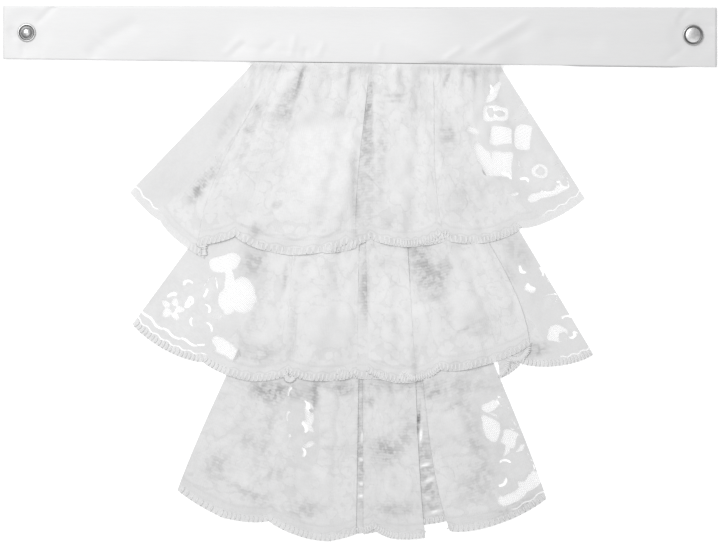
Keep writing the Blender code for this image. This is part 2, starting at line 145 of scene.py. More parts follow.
class Wire:
    def __init__(self, maker, socket):
        self.maker = maker
        self.socket = socket

    def reckon(self, operation, *others):
        return self.maker.node("Math", {"operation": operation}, dict(enumerate((self, *others))))

    def __add__(self, other):
        return self.reckon("ADD", other)

    def __mul__(self, other):
        return self.reckon("MULTIPLY", other)

    def __sub__(self, other):
        return self.reckon("SUBTRACT", other)

    def __truediv__(self, other):
        return self.reckon("DIVIDE", other)

    def __rsub__(self, other):
        return (self * -1.0) + other

    def others(self, *keys):
        return [Wire(self.maker, self.socket.node.outputs[key]) for key in keys]

    def cos(self):
        return self.reckon("COSINE")

    def least(self, other):
        return self.reckon("MINIMUM", other)

    def most(self, other):
        return self.reckon("MAXIMUM", other)

    def size(self):
        return self.reckon("ABSOLUTE")

    def between(self, low, high, first=0.0, last=1.0):
        values = {"Value": self, "From Min": low, "From Max": high, "To Min": first, "To Max": last}
        return self.maker.node("MapRange", {"interpolation_type": "SMOOTHSTEP"}, values)


class Finish:
    def __init__(self, name, **constants):
        self.material = bpy.data.materials.new(name)
        self.material.use_nodes = True
        self.tree = self.material.node_tree
        self.shader = self.tree.nodes["Principled BSDF"]
        for socket, value in constants.items():
            self.feed(self.shader.inputs[socket.replace("_", " ")], value)

    def node(self, kind, settings=None, values=None, output=0):
        made = self.tree.nodes.new("ShaderNode" + kind)
        for key, value in (settings or {}).items():
            setattr(made, key, value)
        for key, value in (values or {}).items():
            self.feed(made.inputs[key], value)
        return Wire(self, made.outputs[output])

    def feed(self, socket, value):
        if isinstance(value, Wire):
            self.tree.links.new(value.socket, socket)
        else:
            socket.default_value = value

    def wear(self, **links):
        for socket, value in links.items():
            self.feed(self.shader.inputs[socket.replace("_", " ")], value)

    def place(self, scale=1.0, turn=0.0):
        spot = self.node("TexCoord", output=3)
        return self.node("Mapping", None, {"Vector": spot, "Rotation": (0, 0, turn), "Scale": (scale,) * 3})

    def noise(self, scale, detail=2.0, vector=None, stretch=(1, 1, 1)):
        spot = vector or self.node("TexCoord", output=3)
        spot = self.node("Mapping", None, {"Vector": spot, "Scale": stretch})
        return self.node("TexNoise", None, {"Vector": spot, "Scale": scale, "Detail": detail})

    def blend(self, share, first, second):
        return self.node("Mix", {"data_type": "RGBA"}, {0: share, 6: first, 7: second}, output=2)

    def bump(self, height, depth, strength=1.0, under=None):
        values = {"Height": height, "Distance": depth, "Strength": strength}
        if under:
            values["Normal"] = under
        return self.node("Bump", None, values)


def grey(value, alpha=1.0):
    return (value, value, value * 1.004, alpha)


# Height map of what a tier lies on

mapping = {"step": 1.5, "halfX": 210.0, "halfY": 160.0, "spread": 12.0, "blur": 9.0}


def mapCell(x, y):
    return (x + mapping["halfX"]) / mapping["step"], (y + mapping["halfY"]) / mapping["step"]


def raiseBlock(heights, low, high, height):
    first = [round(value) for value in mapCell(*low)]
    last = [round(value) for value in mapCell(*high)]
    block = heights[first[0]:last[0] + 1, first[1]:last[1] + 1]
    np.maximum(block, height, out=block)


def raiseSurface(heights, points):
    column, row = mapCell(points[..., 0].ravel(), points[..., 1].ravel())
    spot = (np.rint(column).astype(int), np.rint(row).astype(int))
    np.maximum.at(heights, spot, points[..., 2].ravel() + whole["lace"] / 2)


def shifted(heights, reach):
    cells = round(reach / mapping["step"])
    for stepX in range(-cells, cells + 1):
        for stepY in range(-cells, cells + 1):
            if stepX ** 2 + stepY ** 2 <= cells ** 2 + 1:
                yield np.roll(heights, (stepX, stepY), axis=(0, 1))


def draped(heights):
    spread = np.maximum.reduce(list(shifted(heights, mapping["spread"])))
    return np.mean(list(shifted(spread, mapping["blur"])), axis=0)


def coverHeight(cover, x, y):
    column, row = mapCell(x, y)
    left, low = np.floor(column).astype(int), np.floor(row).astype(int)
    near = mix(cover[left, low], cover[left + 1, low], column - left)
    far = mix(cover[left, low + 1], cover[left + 1, low + 1], column - left)
    return mix(near, far, row - low)


# Soft ridges and troughs: along a line on the page, so wide and so high. A hollow is a soft oval trough whose depth
# also darkens the lace's colour as painted shade; a negative depth lifts the lace and paints it lighter.

Ripple = namedtuple("Ripple", "x1 y1 x2 y2 width height")
ShadedHollow = namedtuple("ShadedHollow", "a w halfLength halfWidth turn depth")


def hollowDepth(shadedHollows, x, y):
    total = np.zeros_like(x)
    for spot in shadedHollows:
        total += spot.depth * np.exp(-(np.maximum(ovalFar(x, y, spot) - 0.3, 0.0) / 0.7) ** 2)
    return total


def rippleHeight(ripples, x, y):
    total = np.zeros_like(x)
    for line in ripples:
        runX, runY = line.x2 - line.x1, line.y2 - line.y1
        length = math.hypot(runX, runY)
        along = ((x - line.x1) * runX + (y - line.y1) * runY) / length
        aside = ((x - line.x1) * runY - (y - line.y1) * runX) / length
        ends = smooth(along / length / 0.3 + 0.3) * smooth((1.0 - along / length) / 0.3 + 0.3)
        total += line.height * np.exp(-(aside / line.width) ** 2) * ends
    return total


# Lace tiers: one row a crease from seam to hem, as in the solids

Flower = namedtuple("Flower", "a w radius petals turn notch eye")
Leaf = namedtuple("Leaf", "a w length width turn")
Oval = namedtuple("Oval", "a w halfLength halfWidth turn power", defaults=(2,))  # a higher power is squarer
Stem = namedtuple("Stem", "points halfWidth")
Crease = namedtuple("Crease", "name seamX hemX hemDrop bow layer turn ridge scallop")


def many(kind, *rows):
    return tuple(kind(*row) for row in rows)


# The cut of the lace that shows, in metres: its length along the hem through the folds, and its flat area,
# narrower at the seam because the finest gathers there are not modelled.
def flatCut(tier):
    pairs = list(zip(tier["creases"], tier["creases"][1:]))
    hem = sum(math.hypot(b.hemX - a.hemX, b.hemDrop - a.hemDrop) for a, b in pairs) / 1000
    seam = sum(abs(b.seamX - a.seamX) for a, b in pairs) / 1000
    return hem, (hem + seam) / 2 * tier["stripDepth"]


# A sprig of short open arcs that alternate beside a straight axis, a layout of its own and not the photo's.
def arcSprig(a, w, turn, count, step=5.4, radius=3.3, halfWidth=0.8, aside=2.4):
    lines = []
    for number in range(count):
        side = 1 if number % 2 else -1
        axis, along = math.radians(turn), (number - (count - 1) / 2) * step
        middleA = a + along * math.cos(axis) - side * aside * math.sin(axis)
        middleW = w + along * math.sin(axis) + side * aside * math.cos(axis)
        angles = [math.radians(turn + side * (25 + 18 * part)) for part in range(6)]
        points = tuple((middleA + radius * math.cos(t), middleW + radius * math.sin(t)) for t in angles)
        lines.append(Stem(points, halfWidth))
    return tuple(lines)


def petalHoles(a, w, far):
    angles = [2 * math.pi * step / 5 for step in range(5)]
    return tuple(Oval(a + far * math.cos(t), w + far * math.sin(t), 2.9, 2.1, math.degrees(t)) for t in angles)


# How the lace settles: sag near the hem, the bunch and grip at the band, and the least height over what is below.
drape = {
    "sag": 0.95, "sagFrom": 0.7, "sagOver": 0.22, "bunchReach": 0.05, "bunchRise": 1.2, "gripReach": 0.035,
    "gripDrop": 0.45, "grip": 0.9, "restMost": 0.7, "overRest": 0.25, "overLayer": 0.3,
}
ribs = {"pitch": 2.35, "middle": 2.1, "lowest": 0.5, "Rib length": 4.0, "Rib width": 1.1, "Rib height": 0.42}
knitting = {"netMesh": 0.85, "stitchWidth": 0.9, "stitchHeight": 0.62}
scallopDepth = 5.0
scallopPitch = 48.0

upperTier = {
    "seamDrop": 0.0,
    "inBand": True,
    # shade: painted shade over the whole tier; a negative value paints it lighter
    "shade": -0.1,
    "gatherWidth": 7.0,
    "gatherHeight": 0.5,
    "step": 0.85,
    "kinds": "DACBACBAA",
    "stripDepth": 0.118,
    "creases": many(
        Crease,
        ("leftEdge", -59.5, -126.0, 69.0, 0.0, 0.0, 0, 0.0, 0.60),
        ("outerCusp", -55.0, -112.2, 88.4, -1.0, 0.0, 0, 0.0, 1.00),
        ("sideReturn", -43.5, -85.5, 105.3, -6.0, 0.0, 1, 0.0, 1.65),
        ("sideFold", -47.7, -89.2, 98.0, -6.0, 1.0, 1, 0.0, 2.60),
        ("leftCusp", -42.0, -70.1, 97.1, -4.0, 2.0, 0, 0.0, 3.00),
        ("grooveLeft", -32.0, -62.0, 99.0, 0.0, 1.7, 0, 0.3, 3.15),
        ("grooveMiddle", -29.8, -56.0, 100.5, 0.0, 1.4, 0, -0.9, 3.25),
        ("grooveRight", -28.0, -51.0, 101.0, 0.0, 1.0, 0, 0.4, 3.35),
        ("sag", -16.0, -38.0, 103.0, 0.0, 0.7, 0, 0.6, 3.55),
        ("centreRise", -4.0, -24.0, 103.0, 0.0, 1.9, 0, 0.0, 3.75),
        ("centreFold", 5.6, -1.9, 101.5, -2.0, 2.0, -1, 0.0, 4.10),
        ("centreReturn", 0.0, -19.6, 102.0, -2.0, 1.0, -1, 0.0, 4.50),
        ("valleyCusp", 6.0, 5.6, 98.7, -1.0, 0.0, 0, 0.0, 5.00),
        ("pleatStep", 7.5, 12.9, 98.7, 1.0, 0.9, 0, 0.6, 5.12),
        ("pleatLeft", 14.0, 20.0, 98.7, 0.0, 1.9, 0, 0.0, 5.25),
        ("pleatRight", 41.0, 47.7, 97.6, -3.0, 2.0, -1, 0.0, 6.10),
        ("pleatReturn", 36.5, 32.5, 97.6, -2.0, 1.0, -1, 0.0, 6.50),
        ("rightGroove", 47.5, 51.0, 98.0, 0.0, 0.0, 0, 0.0, 7.10),
        ("rightRise", 51.5, 60.0, 97.5, 0.0, 0.3, 0, 1.0, 7.25),
        ("rightCusp", 66.0, 90.3, 92.6, 0.0, 0.0, 0, 0.0, 8.00),
        ("rightEdge", 78.5, 124.5, 73.0, 0.0, 0.0, 0, 0.0, 8.80),
    ),
    "ripples": many(
        Ripple,
        (-58, 112, -78, 66, 3.0, 0.4), (-51.5, 107, -78.5, 65.5, 0.9, 0.4), (-50, 100, -70, 60, 2.5, -0.5),
        (-20, 117, -24, 92, 2.2, -0.6), (-4, 117, -6, 98, 2.0, -0.5), (24, 117, 26, 90, 2.6, -0.4),
        (34, 117, 36, 80, 2.4, -0.4), (60, 114, 74, 72, 3.0, 0.5), (70, 112, 92, 64, 3.0, -0.5),
    ),
    "placed": {
        # Troughs at listed places, each also painting shade into the lace's colour, or light where the depth is
        # negative
        "shadedHollows": many(
            ShadedHollow,
            (-57.3, 93.3, 3.4, 2.4, 60, 1.3), (-62, 81, 3, 2.2, 0, 1.0), (-40.5, 88.5, 4, 3, 60, 1.0),
            (-46.5, 38, 3.4, 2, 20, 1.0), (19.6, 99.5, 6, 1.0, 0, 0.9), (19.6, 96.4, 5, 0.8, 0, 0.8),
            (49, 78, 6, 5, 0, 0.7), (62, 112, 7, 3, -20, 0.9), (14, 72, 4, 3, 0, 0.5), (-28, 86, 16, 5, 6, 0.3),
            (-24, 60, 22, 32, 0, -0.2), (-62, 62, 40, 14, 60, 0.25), (-96, 62, 46, 14, 46, 0.2),
            (-91.5, 45.5, 6.5, 4.2, 60, 1.0), (-86.5, 53, 13, 3.0, 55, 1.2), (-40.5, 98, 19, 3.6, 62, 1.0),
            (-34, 106, 12, 2.4, 72, 0.5), (5.5, 99, 13, 2.4, 80, 0.9), (12, 66, 34, 3.4, 88, 0.7),
            (-2.5, 40, 26, 2.2, 90, 0.9), (49, 110, 7, 1.4, 74, 1.3), (50, 76, 14, 5, 100, 0.6),
            (-59, 24, 5, 3.5, 60, 1.1), (16, 28, 4, 3, 0, 0.8), (60, 45, 16, 10, 40, 0.5), (-72, 88, 18, 3, 60, 0.5),
        ),
        # shaded: painted shade only, laid on the lowest layers of a fold so that it ends at the fold's edge
        "shaded": many(ShadedHollow, (4.5, 85, 26, 6.5, 84, 1.1), (6, 50, 34, 9, 88, 0.8)),
        "quiet": many(Oval, (-23, 62, 18, 30, 6), (22, 60, 7, 14, 0)),
        "clear": many(Oval, (92, 72, 44, 22, -62), (-98, 66, 52, 13, 46), (108, 48, 20, 12, 15)),
        "windows": many(
            Oval,
            (78.9, 76.6, 6.8, 6.1, -4, 5), (91.8, 76.4, 7.3, 4.8, 82, 4), (77.4, 61.6, 8.6, 7.4, -6, 4),
            (69.6, 65.8, 8.2, 3.6, -60), (76.2, 89.6, 7.0, 4.6, 0, 4), (64, 80.2, 3.6, 1.8, -25),
            (75, 102, 7.5, 2.1, 55), (105, 45.5, 12.5, 3.0, 18),
        ),
        "flowers": many(
            Flower,
            (101.0, 57.8, 13.4, 7, 8, 0.2, 4.4), (73.7, 90.3, 2.5, 5, 0, 0.2, 0), (78.7, 89.9, 2.5, 5, 30, 0.2, 0),
        ),
        "leaves": many(Leaf, (90, 89, 13, 8, 40), (112, 55, 16, 6, -55)),
        "stems": (Stem(((73.8, 73), (73.6, 64)), 0.3), Stem(((71.6, 71.2), (85.5, 71.3)), 1.4)),
        "holes": arcSprig(83, 50, -12, 4) + arcSprig(-98, 37, 140, 2) + arcSprig(70, 108, 60, 2),
    },
}

middleTier = {
    "seamDrop": 55.0,
    "inBand": False,
    "shade": -0.06,
    "gatherWidth": 13.0,
    "gatherHeight": 0.5,
    "step": 0.95,
    "kinds": "BACACBACBCA",
    "stripDepth": 0.118,
    "creases": many(
        Crease,
        ("leftEdge", -60.6, -127.0, 145.5, 0.0, 0.0, 0, 0.0, 0.05),
        ("leftCusp", -50.0, -88.1, 167.7, 0.0, 0.0, 0, 0.0, 1.00),
        ("hollow", -40.0, -60.0, 174.0, 0.0, 0.4, 0, 0.0, 1.60),
        ("sideReturn", -30.0, -36.5, 175.5, 0.0, 0.0, 1, 0.0, 2.10),
        ("sideFold", -34.0, -42.6, 174.5, 0.0, 1.0, 1, 0.0, 2.95),
        ("leftPanel", -20.0, -27.0, 174.0, 0.0, 1.75, 0, 0.0, 3.30),
        ("centreRise", -9.0, -17.0, 173.5, 0.0, 1.9, 0, 0.0, 3.50),
        ("centreFold", 0.5, -1.6, 173.5, 0.0, 2.0, -1, 0.0, 3.90),
        ("centreReturn", -5.5, -13.0, 173.0, 0.0, 1.0, -1, 0.0, 4.10),
        ("pleatReturn", 8.5, 14.5, 172.5, 0.0, 0.0, 1, 0.0, 4.60),
        ("pleatLeft", 2.5, 4.6, 174.0, 0.0, 1.0, 1, 0.0, 5.00),
        ("pleatMiddle", 13.5, 20.0, 175.0, 0.0, 1.95, 0, 0.0, 5.35),
        ("pleatRight", 24.0, 31.2, 174.5, 0.0, 2.0, -1, 0.0, 5.65),
        ("rightReturn", 18.5, 22.0, 175.0, 0.0, 1.0, -1, 0.0, 6.15),
        ("rightCusp", 31.0, 45.0, 172.0, 0.0, 0.3, 0, 0.0, 7.00),
        ("outerRise", 36.0, 64.5, 166.0, 3.0, 1.9, 0, 0.0, 7.45),
        ("outerFold", 46.0, 95.5, 158.0, 6.0, 2.0, -1, 0.0, 8.00),
        ("outerReturn", 38.5, 77.0, 172.5, 5.0, 1.0, -1, 0.0, 9.60),
        ("outerCusp", 50.0, 90.3, 168.5, 2.0, 0.0, 0, 0.0, 10.00),
        ("rightEdge", 66.2, 130.5, 162.5, 0.0, 0.0, 0, 0.0, 10.95),
    ),
    "ripples": many(
        Ripple,
        (-50, 2, -68, -48, 4.0, -0.6), (12, 20, 20, -50, 3.0, 0.4), (44, 14, 52, -40, 4.0, -0.5),
    ),
    "placed": {
        "shadedHollows": many(
            ShadedHollow,
            (-42, -3.5, 7, 1.2, 85, 1.1), (-96, -18, 32, 20, 50, -0.2), (-31, 5.5, 3, 2, 0, 1.0),
            (47.5, 2, 6, 4, 60, 1.1), (14, 6, 6, 2.5, 0, 0.7), (18, -26, 5, 3.5, 30, 0.5),
            (62, -30, 8, 1.2, 30, 0.8), (84, 0, 7, 3, -60, 0.7), (3.4, -8, 15, 2.0, 90, 0.5),
            (-59.5, 6, 9.5, 7.5, 60, 1.3), (-55, -46, 11, 6, 20, 0.9), (2, -14, 16, 3.2, 90, 0.8),
            (35, 4, 16, 7, 110, 1.3), (44, -10, 9, 3, 80, 0.6), (98.5, -43, 7, 4, 15, 1.6),
            (88, 13, 12, 6, -55, 0.8), (31, -50, 9, 2.2, 90, 0.9), (-38, -30, 18, 2.4, 84, 0.5),
            (0, 16, 60, 4, 0, 0.5), (70, -32, 14, 5, -20, 0.4),
        ),
        "shaded": many(ShadedHollow, (4, -6, 20, 4, 90, 0.5), (38, 2, 18, 7, 100, 0.6)),
        "quiet": many(Oval, (-18, -30, 14, 12, 0), (60, -20, 14, 9, -30)),
        "clear": many(Oval, (-92, -12, 44, 30, 50), (108, -12, 50, 17, -62)),
        "windows": petalHoles(-105, -19.8, 4.4) + many(
            Oval,
            (-76.0, 6.2, 9.0, 4.8, 12, 3), (-73.6, -6, 3.2, 8, 0, 3), (-65.8, -12.4, 6.6, 10.6, 5, 2.5),
            (-74.6, -16.0, 4.8, 6.8, 15, 2.5), (-76, -41.5, 8.6, 3.6, -38, 3), (95.6, -8.6, 3.6, 1.9, -35, 3),
            (111.0, -34.0, 5.6, 4.4, -10, 3),
        ),
        "flowers": many(
            Flower,
            (119.4, -29.4, 4.0, 5, 0, 0.15, 0), (113.6, -35.8, 2.7, 4, 20, 0.2, 0), (112, 0, 8, 5, 0, 0.2, 0),
        ),
        "leaves": many(Leaf, (-84, -9, 15, 8, 75), (-82, -24, 8, 4, 10), (106, -17, 14, 7, 60)),
        "stems": (),
        "holes": arcSprig(-99, -13, 35, 5) + arcSprig(-90, -24, 100, 4) + arcSprig(97, 0, -60, 3)
        + arcSprig(117, -30, 45, 2),
    },
}

lowerTier = {
    "seamDrop": 148.0,
    "inBand": False,
    "shade": 0.2,
    "gatherWidth": 13.0,
    "gatherHeight": 0.5,
    "step": 0.85,
    "kinds": "ACBCBA",
    "stripDepth": 0.118,
    "creases": many(
        Crease,
        ("leftEdge", -62.8, -102.0, 238.5, -1.0, 0.0, 0, 0.0, 0.05),
        ("leftHollow", -45.0, -76.0, 250.5, 0.0, 0.3, 0, 0.0, 0.50),
        ("leftCusp", -32.0, -51.3, 257.0, 0.0, 0.8, 0, 0.0, 1.00),
        ("leftPanel", -18.0, -28.0, 262.5, 0.0, 0.6, 0, 0.0, 1.45),
        ("centreRise", -9.0, -17.5, 264.0, 0.0, 1.9, 0, 0.0, 1.65),
        ("centreFold", 0.0, -2.0, 263.0, 0.0, 2.0, -1, 0.0, 1.95),
        ("centreReturn", -6.0, -13.0, 261.0, 0.0, 1.0, -1, 0.0, 2.20),
        ("pleatReturn", 8.0, 11.0, 258.0, 0.0, 0.0, 1, 0.0, 2.60),
        ("pleatLeft", 1.5, 1.8, 261.0, 0.0, 1.0, 1, 0.0, 2.80),
        ("pleatMiddle", 14.0, 18.0, 262.5, 0.0, 1.85, 0, 0.0, 3.35),
        ("pleatRight", 30.0, 36.6, 263.0, -1.0, 2.0, -1, 0.0, 3.80),
        ("gapReturn", 23.5, 23.0, 256.0, -1.0, 1.0, -1, 0.0, 4.20),
        ("rightReturn", 37.5, 59.0, 251.5, 0.0, 0.0, 1, 0.0, 4.90),
        ("rightFold", 31.5, 50.2, 262.5, -3.0, 1.0, 1, 0.0, 5.00),
        ("rightPanel", 43.0, 64.0, 258.5, 0.0, 1.85, 0, 0.0, 5.25),
        ("rightMiddle", 54.0, 84.0, 251.5, 0.0, 0.3, 0, 0.0, 5.60),
        ("rightEdge", 66.8, 104.3, 243.3, 1.0, 0.0, 0, 0.0, 5.95),
    ),
    "ripples": many(
        Ripple,
        (-60, -60, -84, -118, 4.0, 0.5), (-44, -60, -60, -120, 4.0, -0.5), (56, -60, 72, -118, 4.0, -0.5),
    ),
    "placed": {
        "shadedHollows": many(
            ShadedHollow,
            (-54, -68, 8, 5, -20, 1.1), (-9.6, -66, 5, 3, 0, 1.3), (13.5, -102, 8, 7, 0, 0.7),
            (41, -68, 7, 3, 10, 1.0), (52, -75, 5, 1.5, 30, 1.0), (-79, -108, 9, 7, 60, 0.7), (5, -72, 4, 3, 0, 1.0),
            (60, -95, 10, 3, -15, 0.5), (-26, -70, 9, 3, 80, 1.4), (-45, -66, 16, 4, -12, 1.2),
            (0.5, -100, 34, 2.2, 90, 1.0), (14, -98, 9, 6, 0, 1.0), (26, -90, 9, 5, 80, 0.9),
            (33, -82, 8, 1.0, 86, 2.4), (20, -132, 13, 4, 0, 0.9), (-32, -133, 9, 5, 0, 0.8),
            (-62, -124, 15, 3, -28, 0.8), (-47, -113, 6, 4, 30, 0.7), (-62, -95, 5, 5, 0, 0.6),
            (38, -115, 24, 3, 96, 0.5), (20, -63, 60, 4, 0, 0.8), (-14, -98, 8, 2, 0, 0.6),
            (66, -118, 12, 10, 60, 0.6), (86, -133, 18, 4, 22, 0.8),
        ),
        "shaded": many(
            ShadedHollow,
            # rows with a negative depth paint small light dashes
            (37.5, -112, 30, 9, 97, 0.9), (0.5, -105, 36, 4, 90, 0.3), (36.8, -107.5, 3.0, 1.0, 15, -3.0),
            (39, -116, 3.2, 1.1, 28, -3.0), (38, -126, 1.8, 1.1, 0, -2.4), (42, -134, 4.0, 0.9, 15, -2.6),
            (34.2, -91, 4.0, 0.9, 86, -3.0), (1.4, -92, 4.0, 1.0, 90, -2.6), (0.8, -104.5, 1.3, 1.0, 0, -3.0),
            (0.8, -118, 1.3, 1.0, 0, -3.0), (1.0, -125, 1.8, 1.0, 0, -3.0),
        ),
        "quiet": many(Oval, (55, -88, 10, 8, 0)),
        "clear": many(Oval, (88, -100, 46, 19, -68), (-32, -84, 28, 9, 95)),
        "windows": many(
            Oval,
            (73.2, -73.9, 5.2, 2.7, 30, 3), (74.2, -86.3, 8.6, 5.2, 100, 3), (84.4, -92.8, 6.2, 4.9, -20, 3),
            (82.2, -99.5, 5.0, 1.7, 80), (89.8, -98.6, 4.0, 1.6, 45), (95.5, -117.0, 7.0, 4.6, 38, 3),
            (86.0, -125.4, 7.4, 3.2, 25, 3), (-28.4, -78.7, 7.6, 2.6, 100), (-28.7, -86.4, 4.5, 1.8, -40),
            (-29, -95.5, 3.6, 1.6, 10),
        ),
        "flowers": many(
            Flower,
            (76.0, -69.8, 1.8, 5, 0, 0.2, 0), (79.0, -72.0, 1.9, 5, 20, 0.2, 0), (81.2, -75.0, 1.8, 5, 50, 0.2, 0),
            (-28.0, -76.5, 1.4, 4, 0, 0.2, 0), (88, -108.5, 9.5, 6, 0, 0.2, 0),
        ),
        "leaves": many(Leaf, (86.2, -84.0, 9, 6, -50)),
        "stems": (Stem(((68.6, -77.1), (80.8, -83.0)), 0.9), Stem(((80.4, -88.6), (76.4, -96.6)), 0.9),
                  Stem(((90.0, -92.5), (82.1, -107)), 0.9)),
        "holes": arcSprig(80, -112, 20, 2) + arcSprig(-36, -84, 88, 6, step=6.6) + arcSprig(-57, -71, 15, 2),
    },
}


def scallop(count):
    across = 2.0 * np.mod(count, 1.0) - 1.0
    return scallopDepth * (1.0 - across * across) ** 0.75


bowScale = 6.75  # brings a bow's greatest offset to its own size


def creasePoints(line, fraction, tier):
    seamY = np.full_like(line["seamX"], pageY(tier["seamDrop"]))
    if tier["inBand"]:
        seamY = bandBottom(line["seamX"]) - bandPeek(line["seamX"]) - whole["seamGap"]
    runX = line["hemX"] - line["seamX"]
    runY = pageY(line["hemDrop"]) - seamY
    length = np.hypot(runX, runY)
    deep = scallop(line["scallop"])
    reach = 1.0 + deep * fraction ** 5 / length
    x = line["seamX"] + runX * fraction * reach + line["bow"] * bowScale * fraction ** 2 * (1.0 - fraction)
    y = seamY + runY * fraction * reach
    return x, y, length * (1.0 - fraction * reach), deep


def tierSurface(tier, cover, under):
    creases = tier["creases"]
    keys = ("seamX", "hemX", "hemDrop", "bow", "scallop")
    radius = whole["layerStep"] / 5
    arcInset = radius + whole["lace"] / 2
    arcShare = math.pi * radius / 2 / scallopPitch  # half an arc's length, in scallops
    arcSteps = 8
    columns = []  # line values, level, ridge, inset at the crease before and after, crease index
    for index, crease in enumerate(creases):
        values = [getattr(crease, key) for key in keys]
        if crease.turn:
            for step in range(arcSteps + 1):
                angle = math.pi * step / arcSteps
                shift = arcShare * (2.0 * step / arcSteps - 1.0)
                level = crease.layer + crease.turn * (1.0 - math.cos(angle)) / 2
                spot = values[:4] + [values[4] + shift]
                columns.append((spot, level, crease.ridge, arcInset - radius * math.sin(angle), 0.0, index))
        else:
            columns.append((values, crease.layer, crease.ridge, 0.0, 0.0, index))
        if index + 1 == len(creases):
            break
        after = creases[index + 1]
        first = np.array(values)
        last = np.array([getattr(after, key) for key in keys])
        first[4] += arcShare if crease.turn else 0.0
        last[4] -= arcShare if after.turn else 0.0
        run = max(math.hypot(last[1] - first[1], last[2] - first[2]), abs(last[4] - first[4]) * scallopPitch)
        steps = max(3, math.ceil(run / tier["step"]))
        for step in range(1, steps):
            share = step / steps
            level = mix(crease.layer + crease.turn, after.layer, float(smooth(share)))
            ridge = mix(crease.ridge, after.ridge, float(smooth(share)))
            before = (1.0 - share) * arcInset if crease.turn else 0.0
            behind = share * arcInset if after.turn else 0.0
            columns.append((list(mix(first, last, share)), level, ridge, before, behind, index))

    rows = math.ceil(100.0 / tier["step"])
    fraction = (np.arange(rows + 1) / rows)[:, None]
    line = {key: np.array([column[0][i] for column in columns]) for i, key in enumerate(keys)}
    plain = {key: np.array([getattr(crease, key) for crease in creases]) for key in keys}
    plainX, plainY, _, _ = creasePoints(plain, fraction, tier)
    aheadX, aheadY, _, _ = creasePoints(plain, fraction + 0.02, tier)
    slant = np.hypot(aheadX - plainX, aheadY - plainY) / np.abs(aheadY - plainY)
    inward = np.sign(np.roll(plainX, 1, axis=1) - plainX) * slant
    x, y, w, deep = creasePoints(line, fraction, tier)
    which = np.array([column[5] for column in columns])
    x = x + inward[:, which] * np.array([column[3] for column in columns])
    x = x + inward[:, np.minimum(which + 1, len(creases) - 1)] * np.array([column[4] for column in columns])

    sag = drape["sag"] * smooth((fraction - drape["sagFrom"]) / drape["sagOver"])
    rest = mix(coverHeight(cover, x, y), coverHeight(under, x, y), sag)
    lift = np.array([column[1] for column in columns])
    ridge = np.array([column[2] for column in columns]) * np.maximum(0.0, 1.0 - fraction / 0.36)
    bunched = np.exp(-fraction / drape["bunchReach"]) * tier["inBand"]
    pressed = (1.0 - 0.8 * smooth((fraction - 0.74) / 0.22)) * (1.0 - 0.4 * bunched)
    for index, crease in enumerate(creases):
        if crease.turn:
            near = np.exp(-((x - plainX[:, index:index + 1]) / whole["pressReach"]) ** 2)
            pressed = pressed * (1.0 - whole["press"] * near)
    z = rest + np.minimum(rest, whole["clear"]) + whole["lace"] / 2 + whole["layerStep"] * (lift + ridge) * pressed
    z = z + drape["bunchRise"] * bunched * (1.0 - 0.4 * lift)
    calm = np.maximum(0.0, 1.0 - fraction / 0.30) ** 1.5
    for index, crease in enumerate(creases):
        if crease.turn:
            calm = calm * smooth((np.abs(x - plainX[:, index:index + 1]) - 1.0) / 6.0)
    phase = 2 * math.pi * x / tier["gatherWidth"] + 0.9 * np.sin(x / 9.0)
    z = z + tier["gatherHeight"] * (1.0 + np.cos(phase)) * calm
    z = z + rippleHeight(tier["ripples"], x, y) - 0.35 * np.minimum(hollowDepth(tier["placed"]["shadedHollows"], x, y), 1.0)
    z = (z + 0.3 * np.sin(x / 3.1 + 1.6 * np.sin(y / 5.7)) * np.sin(y / 4.3 + 1.3 * np.sin(x / 6.9))
         + 0.2 * np.sin(x / 1.7 + y / 3.3))
    z = np.maximum(z, np.minimum(rest, drape["restMost"]) + drape["overRest"] + drape["overLayer"] * lift)
    gripped = np.exp(-(fraction / drape["gripReach"]) ** 2) * tier["inBand"]
    z = mix(z, band["thickness"] + band["swell"] - drape["gripDrop"], drape["grip"] * gripped)
    u = np.broadcast_to(line["scallop"] * scallopPitch, x.shape)
    low = 1.0 - smooth((np.broadcast_to(lift, x.shape) - 0.1) / 0.6)
    return np.stack([x, y, z], axis=-1), u, w, w + deep, low


# The lace's own pattern, in lace millimetres: a across one scallop, w up from the line of its cusps. Its depth value
# is painted shade, not part of the pattern.

def turned(a, w, shape):
    angle = math.radians(shape.turn)
    du, dw = a - shape.a, w - shape.w
    return du * math.cos(angle) + dw * math.sin(angle), dw * math.cos(angle) - du * math.sin(angle)


def ovalFar(a, w, shape):
    du, dw = turned(a, w, shape)
    return np.hypot(du / shape.halfLength, dw / shape.halfWidth)


def ovalInside(a, w, shape):
    du, dw = turned(a, w, shape)
    du, dw = np.abs(du / shape.halfLength) + 1e-6, np.abs(dw / shape.halfWidth) + 1e-6
    far = (du ** shape.power + dw ** shape.power) ** (1.0 / shape.power)
    side = np.hypot((du / far) ** (shape.power - 1) / shape.halfLength,
                    (dw / far) ** (shape.power - 1) / shape.halfWidth)
    return (1.0 - far) / side


def leafInside(a, w, shape):
    du, dw = turned(a, w, shape)
    radius = (shape.length ** 2 / 4 + shape.width ** 2 / 4) / shape.width
    aside = radius - shape.width / 2
    return np.minimum(radius - np.hypot(du, dw - aside), radius - np.hypot(du, dw + aside))


def flowerInside(a, w, shape):
    du, dw = a - shape.a, w - shape.w
    angle = np.arctan2(dw, du) + math.radians(shape.turn)
    lobe = np.abs(np.cos(shape.petals * angle / 2)) ** 0.7
    return shape.radius * (1.0 - shape.notch * (1.0 - lobe)) - np.hypot(du, dw)


